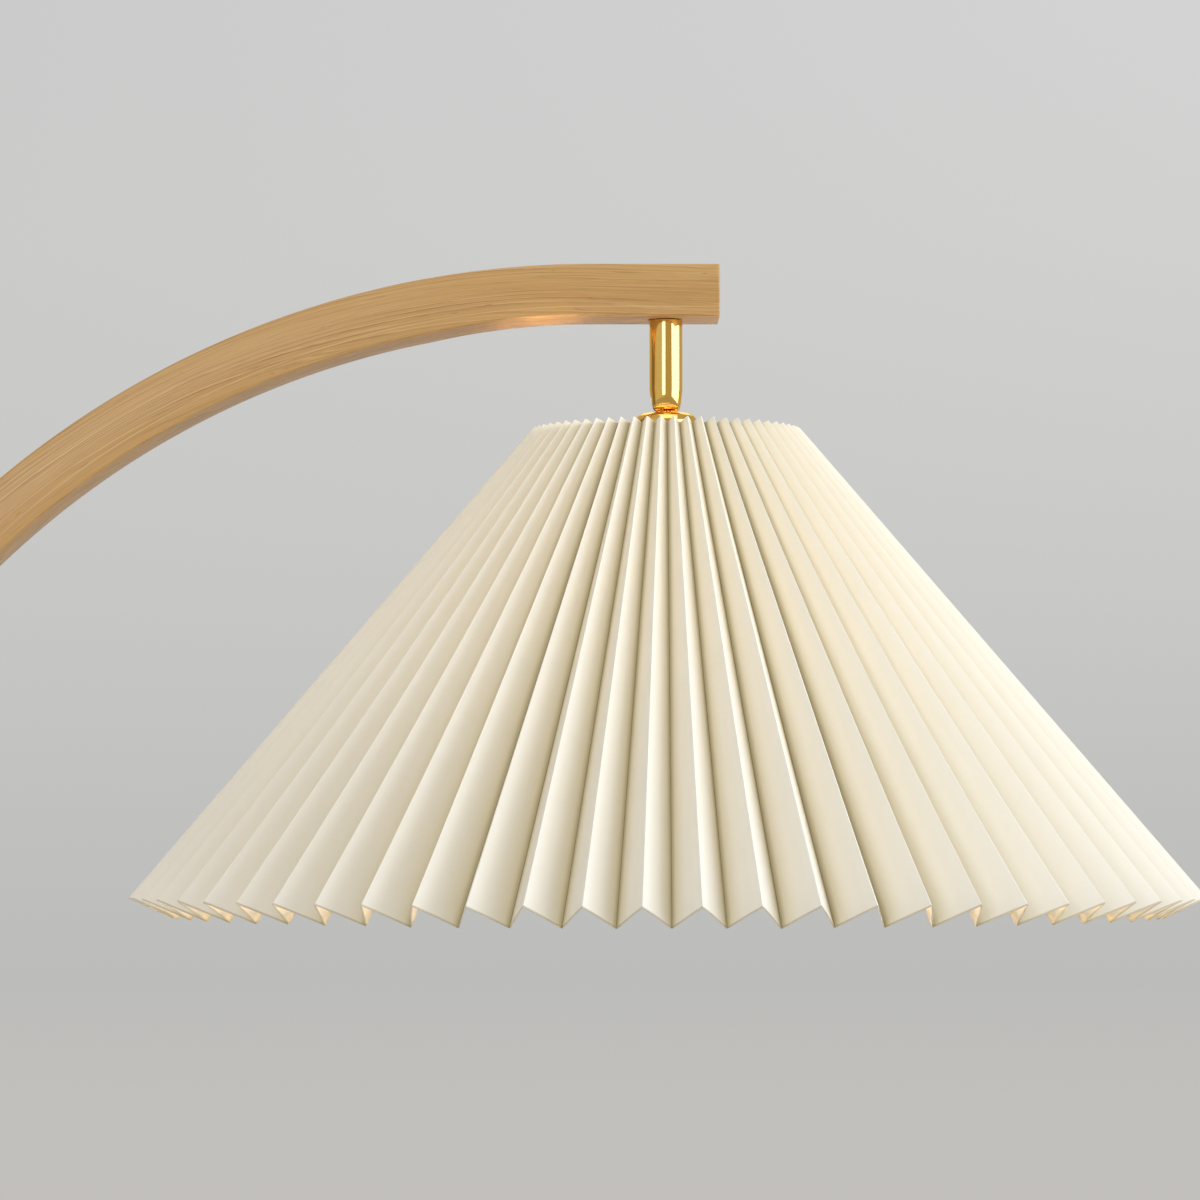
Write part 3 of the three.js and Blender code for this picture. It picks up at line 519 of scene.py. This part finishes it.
def section(h, w, r, inset=0.0, notch=0.0, gw=6.4, n=3, lift=0.0):
    """Points (across the layers, across the face) round the stem's section, with a notch in the hollow side."""
    h, w = h - inset, w - inset
    r = max(r - inset, 0.05)
    pts = []
    for cx, cy, a0 in ((h - r, w - r, 0), (-h + r, w - r, 90), (-h + r, -w + r, 180), (h - r, -w + r, 270)):
        up = lift if cx < 0 else 0.0
        for k in range(n + 1):
            a = math.radians(a0 + 90 * k / n)
            pts.append((cx + up + r * math.cos(a), cy + r * math.sin(a)))
        if a0 == 90:
            e = min(0.25, notch / 2)
            low, deep = -h + lift, max(-h + notch, -h + lift)
            pts += [(low, gw / 2 + e), (low + e, gw / 2), (deep, gw / 2), (deep, -gw / 2), (low + e, -gw / 2), (low, -gw / 2 - e)]
    return np.array(pts)


def strip_mesh(name, stations):
    """stations: (x, z, nx, nz, shift along, section points)."""
    rings = []
    for x, z, nx, nz, shift, sec in stations:
        tx, tz = nz, -nx
        rings.append(np.stack([x + sec[:, 0] * nx + tx * shift, sec[:, 1], z + sec[:, 0] * nz + tz * shift], 1))
    k = len(rings[0])
    v = np.vstack(rings)
    faces = []
    for i in range(len(rings) - 1):
        for c in range(k):
            d = (c + 1) % k
            faces.append([i * k + c, i * k + d, (i + 1) * k + d, (i + 1) * k + c])
    faces.append(list(range(k))[::-1])
    faces.append([(len(rings) - 1) * k + c for c in range(k)])
    return mesh_object(name, v, faces)


def rounded_ends(stations, make, bevel=0.6, n=3):
    """Adds rings that round both ends. make(inset, station index) gives the section."""
    first, last = stations[0], stations[-1]
    head = [(*first[:4], bevel * (1 - math.cos(math.pi / 2 * (1 - k / n))) * 1.0 + 0.0, make(bevel * (1 - math.sin(math.pi / 2 * (k / n))), 0)) for k in range(n)]
    tail = [(*last[:4], -bevel * (1 - math.cos(math.pi / 2 * (k / n))), make(bevel * (1 - math.sin(math.pi / 2 * (1 - k / n))), -1)) for k in range(1, n + 1)]
    return head, tail


# stem: notched section to the end of the groove, plain section beyond it
NOTCH, EDGE = 8.0, 1.1
stations = []
for x, z, nx, nz in line:
    if nx == 0.0 and x > groove_end + 1e-6:
        stations.append((x, z, nx, nz, 0.0, section(T / 2, W / 2, EDGE, 0, 0.0, lift=T - TIP_T)))
    else:
        up = planed(x) if nz > 0.9 else 0.0
        stations.append((x, z, nx, nz, 0.0, section(T / 2, W / 2, EDGE, 0, NOTCH, lift=up)))
        if nx == 0.0 and abs(x - groove_end) < 1e-6:
            stations.append((x, z, nx, nz, 0.0, section(T / 2, W / 2, EDGE, 0, 0.0, lift=up)))
x, z, nx, nz = line[-1]
tail = []
for k in range(1, 4):
    f = math.pi / 2 * k / 3
    tail.append((x, z, nx, nz, -0.7 + 0.7 * math.sin(f), section(T / 2, W / 2, EDGE, 0.7 * (1 - math.cos(f)), 0.0, lift=T - TIP_T)))
stations[-1] = (x, z, nx, nz, -0.7, stations[-1][5])
stem = strip_mesh("stem", stations + tail)
tidy(stem, 40.0)
pocket = rod_mesh("c1", 6.7, UNDER - 5, TOP - 4.5, AX, 0.0, 48)
way = box_mesh("c2", AX - 32, AX, -3.2, 3.2, UNDER - 5, TOP - 4.5)
heel = box_mesh("c3", foot_x - 5, foot_x + T / 2 + 1, -3.2, 3.2, FOOT_Z - 5, FOOT_Z + 10)
holes = [rod_mesh("c4", 3.9, 0, 36, foot_x, s * 8.5) for s in (-1, 1)] + [rod_mesh("c5", 2.8, 30, 54, foot_x, s * 8.5) for s in (-1, 1)]
cut(stem, [pocket, way, heel, *holes])
tidy(stem, 40.0)
grain_along_stem(stem)
settle(stem, "arc_stem")

# cover strip in the groove
stations = []
z_low = 27.3 + 4.0 + 0.6


def cover_section(inset, lift=0.0):
    h0, h1, w, r = -T / 2 + inset + lift, -T / 2 + 2.4 - inset, 2.9 - inset, max(0.3 - inset, 0.03)
    pts = []
    for cx, cy, a0 in ((h1 - r, w - r, 0), (h0 + r, w - r, 90), (h0 + r, -w + r, 180), (h1 - r, -w + r, 270)):
        for k in range(3):
            a = math.radians(a0 + 45 * k)
            pts.append((cx + r * math.cos(a), cy + r * math.sin(a)))
    return np.array(pts)


stations.append((foot_x, z_low, -1.0, 0.0, 0.0, cover_section(0)))
for x, z, nx, nz in line:
    if z > z_low + 1 and not (nx == 0.0 and x > cover_end + 1e-6):
        stations.append((x, z, nx, nz, 0.0, cover_section(0, planed(x) if nz > 0.9 else 0.0)))
cover = strip_mesh("groove_cover", stations)
tidy(cover, 40.0)
grain_along_stem(cover)
a = cover.data.attributes["grain"]
buf = np.zeros(len(cover.data.vertices) * 3, np.float32)
a.data.foreach_get("vector", buf)
buf = buf.reshape(-1, 3) + np.array([0.37, 0.021, 0.013], np.float32)
a.data.foreach_set("vector", buf.ravel())
settle(cover, "channel_cover")

# ------------------------------------------------------------------ base
disc = turned(
    "base",
    [(0, 15.6), (130.6, 15.6), (130.6, 2.3), (148.5, 2.3), (150, 3.8), (150, 20.5), (147.2, 24.8), (142.5, 27.3), (0, 27.3)],
    [0, 0, 0, 0.5, 1.5, 4.0, 3.0, 4.0, 0], 144, 0.0, steps=6,
)
mortise = box_mesh("c", foot_x - T / 2 - 0.3, foot_x + T / 2 + 0.3, -W / 2 - 0.3, W / 2 + 0.3, 0, 60)


def rear_rod(name, r, x0, x1, z=12.3):
    ob = rod_mesh(name, r, x0, x1, 0.0, 0.0, 40)
    co = np.array([v.co for v in ob.data.vertices])
    ob.data.vertices.foreach_set("co", np.stack([co[:, 2], co[:, 1], -co[:, 0] + z * MM], 1).ravel())
    ob.data.update()
    return ob


screws_x = [foot_x - 21, foot_x + 21]
cut(disc, [mortise, rear_rod("c", 4.4, -160, -120), *[rod_mesh("c", 1.9, 17, 40, x) for x in screws_x]])
tidy(disc, 30.0)
grain_flat(disc, 0.05, (1.3, 0.02, 0.4))
settle(disc, "base_disc")

pad = turned("pad", [(0, 0), (144, 0), (144, 2), (0, 2)], [0, 0.5, 0.6, 0], 144, 0.0)
settle(pad, "foot_pad")

collar = turned("collar", [(0, 27.6), (30, 27.6), (30, 29.6), (28.6, 31.3), (0, 31.3)], [0, 0.3, 1.2, 1.2, 0], 120, 0.0, steps=5)
sinks = [turned("c", [(0, 28.7), (1.9, 28.7), (4.2, 31.8), (0, 31.8)], 0.0, 40, x) for x in screws_x]
cut(collar, [box_mesh("c", foot_x - T / 2 - 0.3, foot_x + T / 2 + 0.3, -W / 2 - 0.3, W / 2 + 0.3, 0, 60), *[rod_mesh("c", 1.9, 17, 40, x) for x in screws_x], *sinks])
tidy(collar, 30.0)
settle(collar, "stem_collar")
for i, x in enumerate(screws_x):
    s = turned("collar_screw_" + "ab"[i], [(0, 18), (0.7, 18.4), (1.5, 21), (1.5, 28.9), (3.3, 31.1), (0, 31.45)], [0, 0.1, 0.3, 0.2, 0.25, 0], 48, x)
    arm = 2.3
    slotter = box_mesh("c", x - arm, x + arm, -0.35, 0.35, 30.3, 33)
    cut(s, [slotter, box_mesh("c", x - 0.35, x + 0.35, -arm, arm, 30.3, 33)])
    tidy(s, 30.0)
    settle(s, ["collar_screw_rear", "collar_screw_front"][i])

gland = turned("gland", [(4.05, -151), (4.05, -132), (2.3, -132), (2.3, -153.2), (6.0, -153.2), (6.5, -152.4), (6.5, -150.4), (4.05, -150.4)], [0, 0.2, 0.3, 0.7, 0.5, 0.4, 0.1, 0], 64, 0.0, closed=True)
co = np.array([v.co for v in gland.data.vertices])
gland.data.vertices.foreach_set("co", np.stack([co[:, 2], co[:, 1], -co[:, 0] + 12.3 * MM], 1).ravel())
tidy(gland)
settle(gland, "cord_gland")

# ------------------------------------------------------------------ swivel
barrel = turned(
    "barrel",
    [(5.5, UNDER - 0.3), (5.5, BALL), (5.2, BALL - 1.6), (4.68, BALL - 2.8), (4.35, BALL - 5), (4.4, LIP), (4.65, LIP), (5.5, LIP + 0.5), (5.97, LIP + 1.3), (6.35, LIP + 3), (7.0, BALL + 0.8), (7.0, UNDER - 0.3)],
    [0.1, 1, 1, 1, 1, 0.12, 0.15, 0.5, 0.5, 3, 3, 0.2], 144, closed=True, steps=6,
)
slot_mid = BALL - 1.0 - 2.5
slotter = box_mesh("c", AX - 10, AX, -2.5, 2.5, LIP - 3, slot_mid)
round_end = rod_mesh("c", 2.5, -10, 0, 0.0, 0.0, 48)
co = np.array([v.co for v in round_end.data.vertices])
round_end.data.vertices.foreach_set("co", np.stack([co[:, 2] + AX * MM, co[:, 1], -co[:, 0] + slot_mid * MM], 1).ravel())
round_end.data.update()
cut(barrel, [slotter, round_end])
tidy(barrel, 38.0)
settle(barrel, "swivel_barrel")

neck_r, bore_r = 2.1, 1.35
arcp = []
a0 = -math.acos(neck_r / 5.0)
for i in range(25):
    a = a0 + (i / 24) * (-a0 + 1.12)
    arcp.append((5.0 * math.cos(a), BALL + 5.0 * math.sin(a)))
ball = lathe("ball_and_neck", [(bore_r, 1430), (neck_r, 1430), *arcp, (bore_r, BALL + 5 * math.sin(1.12))], 80, closed=True)
tidy(ball, 30.0)
settle(ball, "swivel_ball")

cup = turned(
    "holder_cup",
    [(2.45, CUP - 1), (8.6, CUP - 1), (10.2, CUP - 1.4), (11.6, CUP - 2.4), (12.5, CUP - 4), (12.9, CUP - 6.5), (12.9, 1426.6), (14, 1423.8), (18.4, 1420.4), (19, 1418.9), (19, 1408.4),
     (20, 1408.4), (20, 1419.4), (19.2, 1421.4), (15, 1424.4), (13.9, 1427.2), (13.85, CUP - 6), (13.35, CUP - 3.3), (12.3, CUP - 1.4), (10.7, CUP - 0.3), (8.9, CUP), (2.45, CUP)],
    [0, 1, 1, 1, 2, 2, 2, 2, 1, 1, 0.2, 0.3, 1.6, 1.2, 2.2, 2.2, 2.4, 2, 2, 2, 1.4, 0.2], 112, closed=True, steps=4, sharp=50.0,
)
settle(cup, "socket_cup")

# ------------------------------------------------------------------ lampholder
def knurl(depth, count, r0):
    def shape(a, r, z):
        k = (r > r0).astype(float)
        return r - k * depth * (0.5 + 0.5 * np.cos(a * count)), z
    return shape


sleeve = turned("holder_sleeve", [(14.5, 1378), (18.9, 1378), (19.5, 1378.8), (19.5, 1408), (14.5, 1408)], [0.3, 0.5, 0.5, 0.2, 0.2], 96, closed=True)
settle(sleeve, "socket_sleeve")
for name, z0, z1 in (("shade_ring_upper", 1399.2, 1402.7), ("shade_ring_lower", 1393.3, 1396.8)):
    ob = turned(name + "_nut", [(19.9, z0), (27.2, z0), (28.4, z0 + 0.8), (28.4, z1 - 0.8), (27.2, z1), (19.9, z1)], [0.2, 0.5, 0.4, 0.4, 0.5, 0.2], 288, closed=True, shape=knurl(0.45, 48, 27.9))
    settle(ob, name)
fitter = turned("fitter", [(20.6, 1397.1), (30, 1397.1), (30, 1398.9), (20.6, 1398.9)], 0.5, 96, closed=True)
settle(fitter, "shade_fitter")

pitch = 3.62


def thread(z0, z1, base, depth, outward=1, n=None):
    """Radii of a rolled thread between two heights."""
    zs = np.linspace(z0, z1, n or int((z1 - z0) / 0.3))
    return [(base + outward * depth * 0.5 * (1 - math.cos(2 * math.pi * (z - z0) / pitch)), z) for z in zs]


inner = thread(1381.4, 1404.8, 13.45, 0.45)
outer = [(r + 0.35, z) for r, z in inner][::-1]
shell = lathe("threaded_shell", [*inner, *outer], 96, closed=True)
tidy(shell, 50.0)
settle(shell, "screw_shell")

# ------------------------------------------------------------------ bulb
cap = lathe("bulb_cap", [(0, 1379.6), (12.2, 1379.6), (12.6, 1379.8), *thread(1380.4, 1398.0, 12.2, 0.75), (12.2, 1398.6), (11.4, 1399.6), (9.5, 1401.2), (8.4, 1401.4), (0, 1401.4)], 96)
tidy(cap, 50.0)
settle(cap, "bulb_screw_cap")
tip = turned("bulb_tip", [(0, 1401.7), (4.2, 1401.7), (4.0, 1402.6), (2.6, 1403.3), (0, 1403.3)], [0, 0.2, 0.5, 0.5, 0], 48)
settle(tip, "bulb_contact")


def flutes(a, r, z):
    k = np.clip((z - 1348) / 8, 0, 1) * np.clip((1374 - z) / 6, 0, 1) * (r > 5)
    return r - k * 0.7 * (0.5 + 0.5 * np.cos(a * 24)), z


zs = np.linspace(1345.6, 1376.4, 30)
pr = np.interp(zs, [1345.2, 1352, 1363, 1372, 1376.4], [22.3, 21.4, 18.2, 14.6, 13.0])
housing = lathe("bulb_housing_shell", [(0, 1345.2), (21.9, 1345.2), *zip(pr, zs), (13.0, 1379.0), (12.7, 1379.3), (0, 1379.3)], 240, shape=flutes)
tidy(housing, 40.0)
settle(housing, "bulb_housing")
fa = np.linspace(-math.pi / 2, 0.7205, 48)
out_g = [(30 * math.cos(a), 1325 + 30 * math.sin(a)) for a in fa]
in_g = [(29 * math.cos(a), 1325 + 29 * math.sin(a)) for a in fa[::-1]]
in_g[0] = (in_g[0][0], out_g[-1][1])
out_g[0], in_g[-1] = (0.0, 1295.0), (0.0, 1296.0)
globe = lathe("globe", [*out_g, *in_g], 96)
tidy(globe, 40.0)
settle(globe, "bulb_globe")

# ------------------------------------------------------------------ wire frame of the shade
SKIN = 1.6
SLOPE = (207.5 - 52.9) / (197.2 - 2.4 + 8.2)


def wire_r(z):
    return 207.5 - SKIN - SLOPE * (z - HEM + 8.2) - 2.6


TOP_RING, LOW_RING = HEM + 193.4, HEM + 2.6
for name, z, k in (("top_ring", TOP_RING, 120), ("bottom_ring", LOW_RING, 300)):
    a = np.arange(k) / k * 2 * math.pi
    r = wire_r(z)
    ob = sweep(name + "_wire", np.stack([AX + r * np.cos(a), r * np.sin(a), np.full(k, z)], 1), 1.6, 16, closed=True)
    settle(ob, name)
for i in range(6):
    a = math.pi / 6 + i * math.pi / 3
    z0, z1 = LOW_RING + 1.9, TOP_RING - 1.9
    t = np.linspace(0, 1, 40)
    z = z0 + (z1 - z0) * t
    r = np.array([wire_r(q) for q in z])
    blob = 1.3 + 0.32 * (np.exp(-((t * 250) / 2.2) ** 2) + np.exp(-(((1 - t) * 250) / 2.2) ** 2))
    ob = sweep(f"rib_{i + 1}", np.stack([AX + r * math.cos(a), r * math.sin(a), z], 1), 1.3, 14, radii=blob, cap=False)
    settle(ob, f"shade_rib_{i + 1}")
for i in range(3):
    a = math.pi / 6 + i * 2 * math.pi / 3
    p0, p1 = np.array([31.9, 1398.8]), np.array([wire_r(TOP_RING) - 1.4, TOP_RING - 2.7])
    t = np.linspace(0, 1, 24)[:, None]
    rz = p0 + (p1 - p0) * t
    ob = sweep(f"spider_{i + 1}", np.stack([AX + rz[:, 0] * math.cos(a), rz[:, 0] * math.sin(a), rz[:, 1]], 1), 1.4, 14, cap=False)
    settle(ob, f"spider_arm_{i + 1}")


# ------------------------------------------------------------------ pleated shade
RIDGE, VALLEY = 0.55, 0.40  # how far a fold rounds off to each side


def pleated():
    rows = np.concatenate([[0.0, 0.0012, 0.004], np.linspace(0.02, 0.98, 26), [0.996, 0.9988, 1.0]])
    jitter_r = rng.normal(0, 0.16, (2, 2 * PLEATS))
    jitter_a = rng.normal(0, 0.0004, (2, 2 * PLEATS))
    phase = -0.056
    k = np.arange(2 * PLEATS)
    inner = k % 2 == 1
    ang = -math.pi / 2 + phase + k * math.pi / PLEATS
    hem_r = np.where(inner, 207.5, 225.0) + jitter_r[0] * 1.0
    top_r = np.where(inner, 52.5, 56.9) + jitter_r[1] * 0.35
    hem_z = np.where(inner, HEM - 8.2, HEM) + jitter_r[1] * 0.5
    top_z = np.where(inner, HEM + 194.8, HEM + 197.2)
    hem = np.stack([AX + hem_r * np.cos(ang + jitter_a[0]), hem_r * np.sin(ang + jitter_a[0]), hem_z], 1)
    top = np.stack([AX + top_r * np.cos(ang + jitter_a[1]), top_r * np.sin(ang + jitter_a[1]), top_z], 1)
    axis = np.array([AX, 0.0])
    fr = np.array([0.12, 0.3, 0.5, 0.7, 0.88])
    grid, flat = [], []
    for t in rows:
        p = hem + (top - hem) * t
        nxt, prv = np.roll(p, -1, 0), np.roll(p, 1, 0)
        width = np.linalg.norm(nxt - p, axis=1)
        w_mean = width.mean()
        ring, fl = [], []
        start = 0.0
        for i in range(2 * PLEATS):
            c, a, b = p[i], prv[i], nxt[i]
            la, lb = np.linalg.norm(a - c), np.linalg.norm(b - c)
            d = min(RIDGE if not inner[i] else VALLEY, 0.20 * w_mean)
            s, e = c + (a - c) / la * d, c + (b - c) / lb * d
            for q in (0.0, 0.25, 0.5, 0.75, 1.0):
                ring.append((1 - q) ** 2 * s + 2 * q * (1 - q) * c + q * q * e)
                off = (q - 0.5) * 2 * d
                fl.append((start + off, abs(off) if inner[i] else (la if off < 0 else lb) - abs(off)))
            # the panel: a soft crease beside the inner fold, a slight crown by the outer one
            c2 = p[(i + 1) % (2 * PLEATS)]
            s2 = c2 + (c - c2) / lb * min(VALLEY if inner[(i + 1) % (2 * PLEATS)] else RIDGE, 0.20 * w_mean)
            edge = c2 - c
            outward = np.array([*((c + c2)[:2] / 2 - axis), 0.0])
            outward /= np.linalg.norm(outward)
            slope = (top[i] - hem[i]) / np.linalg.norm(top[i] - hem[i])
            nrm = np.cross(edge, slope)
            nrm /= np.linalg.norm(nrm)
            if nrm @ outward < 0:
                nrm = -nrm
            for q in fr:
                pos = e + (s2 - e) * q
                w = q if not inner[i] else 1 - q  # 0 at the outer fold, 1 at the inner fold
                crown = 0.010 * w_mean * math.sin(math.pi * min(1.0, w * 1.25)) * (1 - 0.55 * w)
                ring.append(pos + nrm * crown)
                run_on = d + (lb - 2 * d) * q
                fl.append((start + run_on, run_on if inner[i] else lb - run_on))
            start += lb
        grid.append(ring)
        flat.append(fl)
    g = np.array(grid)
    rows_n, cols = g.shape[:2]
    du = np.roll(g, -1, 1) - np.roll(g, 1, 1)
    dv = np.gradient(g, axis=0)
    nrm = np.cross(du, dv)
    nrm /= np.linalg.norm(nrm, axis=2)[:, :, None]
    out = g - np.array([AX, 0, 0])
    if (nrm[:, :, 0] * out[:, :, 0] + nrm[:, :, 1] * out[:, :, 1]).mean() < 0:
        nrm = -nrm
    thick = 0.42
    back = g - nrm * thick
    v = np.vstack([g.reshape(-1, 3), back.reshape(-1, 3)])
    i = np.arange(rows_n - 1)[:, None] * cols
    j = np.arange(cols)[None, :]
    jn = (j + 1) % cols
    o = rows_n * cols
    f = [np.stack([i + j, i + jn, i + cols + jn, i + cols + j], -1).reshape(-1, 4),
         np.stack([o + i + j, o + i + cols + j, o + i + cols + jn, o + i + jn], -1).reshape(-1, 4)]
    j, jn = np.arange(cols), (np.arange(cols) + 1) % cols
    e = (rows_n - 1) * cols
    f.append(np.stack([j, o + j, o + jn, jn], -1))
    f.append(np.stack([e + j, e + jn, o + e + jn, o + e + j], -1))
    ob = mesh_object("shade_fabric", v, np.vstack(f))
    fl = np.array(flat)
    length = np.linalg.norm(g[1:] - g[:-1], axis=2).mean(1)
    vv = np.concatenate([[0], np.cumsum(length)])
    cloth = np.stack([fl[:, :, 0], np.broadcast_to(vv[:, None], fl.shape[:2]), fl[:, :, 1]], -1).reshape(-1, 3) * MM
    a = ob.data.attributes.new("cloth", "FLOAT_VECTOR", "POINT")
    a.data.foreach_set("vector", np.vstack([cloth, cloth]).astype(np.float32).ravel())
    ob.data.shade_smooth()
    ob.data.set_sharp_from_angle(angle=math.radians(50))
    return ob


shade = pleated()
settle(shade, "shade_pleats")

# ------------------------------------------------------------------ stage: floor, world, lights
k = 96
a = np.arange(k) / k * 2 * math.pi
fv = [(0, 0, 0)] + [(r * math.cos(t), r * math.sin(t), 0) for r in (2000.0, 11000.0) for t in a]
ff = [[0, 1 + i, 1 + (i + 1) % k] for i in range(k)] + [[1 + i, 1 + k + i, 1 + k + (i + 1) % k, 1 + (i + 1) % k] for i in range(k)]
floor = mesh_object("floor", fv, ff)
m, n = new_material("floor")
p = n.put("TexCoord", 3)
c = n.noise(p, 3.0, 4.0)
finish_material(n, Base_Color=n.mix(c, (0.77, 0.765, 0.755), (0.81, 0.805, 0.795)), Roughness=n.remap(c, 0.3, 0.7, 0.6, 0.75))
floor.data.materials.append(m)

scene = bpy.context.scene
world = bpy.data.worlds.new("studio")
scene.world = world
world.use_nodes = True
n = Nodes(world.node_tree)
d = n.put("TexCoord", 0)
sep = n.put("SeparateXYZ", None, None, Vector=d)


def lin(v):
    v /= 255
    return v / 12.92 if v <= 0.04045 else ((v + 0.055) / 1.055) ** 2.4


def grey(r, g=None, b=None):
    return (lin(r), lin(g if g is not None else r), lin(b if b is not None else r))


z01 = n.remap(sep.outputs[2], -0.11, 0.22)
stops = [(-0.10, (194, 191, 188)), (-0.068, (194, 192, 189)), (-0.038, (188, 188, 186)), (-0.008, (191, 191, 189)), (0.022, (195, 195, 193)), (0.052, (199, 199, 197)), (0.083, (202, 202, 200)), (0.143, (206, 206, 205)), (0.20, (207, 207, 207))]
back = n.ramp(z01, [((z + 0.11) / 0.33, grey(*c)) for z, c in stops])
side = n.math("ADD", 1.0, n.math("MULTIPLY", n.math("MULTIPLY", sep.outputs[0], n.remap(sep.outputs[2], 0.02, 0.2)), 0.30))
back = n.mix(1.0, back, n.put("CombineXYZ", 0, None, X=side, Y=side, Z=side), "MULTIPLY")
# brightness of the room by direction: 0 is the camera's side, to the right is positive
bands = [(-180, 0.66, 0), (-150, 0.58, 0.2), (-122, 0.45, 0.6), (-111, 0.20, 1), (-103, 0.14, 1), (-97, 0.30, 1), (-88, 0.56, 0.6), (-60, 0.64, 0.2), (-32, 0.61, 0.3), (-4, 0.47, 1), (36, 0.47, 1), (102, 0.52, 0.4), (135, 0.50, 0.2), (152, 0.58, 0), (180, 0.66, 0)]
turn = n.put("Math", 0, {"operation": "ARCTAN2"}, i0=sep.outputs[0], i1=n.math("MULTIPLY", sep.outputs[1], -1.0))
room = n.ramp(n.remap(turn, -math.pi, math.pi), [((a + 180) / 360, (b, b * (1 - 0.11 * w), b * (1 - 0.40 * w))) for a, b, w in bands])
room = n.mix(n.remap(sep.outputs[2], 0.35, 0.85, 0.0, 1.0, True), room, (0.50, 0.50, 0.50))
amb = n.mix(1.0, room, (1.0, 0.995, 0.98), "MULTIPLY")
path = n.put("LightPath", 0)
bg = n.put("Background", 0, None, Color=n.mix(path, amb, back), Strength=1.0)
out = n.put("OutputWorld", None)
n.t.links.new(bg, out.inputs[0])


def softbox(name, azimuth, elevation, distance, width, height, radiance, color, target=(0.2, 0.0, 1.33)):
    """Azimuth 0 is on the camera's side, 90 is towards +X."""
    L = bpy.data.lights.new(name, "AREA")
    L.shape, L.size, L.size_y = "RECTANGLE", width, height
    L.energy = radiance * math.pi * width * height
    L.color = color
    ob = bpy.data.objects.new(name, L)
    scene.collection.objects.link(ob)
    az, el = math.radians(azimuth), math.radians(elevation)
    way = Vector((math.sin(az) * math.cos(el), -math.cos(az) * math.cos(el), math.sin(el)))
    ob.location = Vector(target) + way * distance
    ob.rotation_mode = "QUATERNION"
    ob.rotation_quaternion = way.to_track_quat("Z", "Y")
    ob.visible_camera = False
    return ob


softbox("key", 72, 14, 2.3, 2.7, 1.5, 3.70, (0.880, 0.930, 1.0))
softbox("fill", -17, 8, 2.6, 0.90, 1.0, 4.1, (1.0, 0.99, 0.99))
softbox("top", 20, 78, 2.0, 1.6, 1.6, 1.2, (1.0, 1.0, 1.0))
softbox("back", 178, 40, 2.7, 1.8, 1.2, 1.3, (1.0, 1.0, 1.0))

scene.view_settings.view_transform = "Standard"
scene.view_settings.look = "None"
scene.view_settings.exposure = 0.0
scene.view_settings.gamma = 1.0
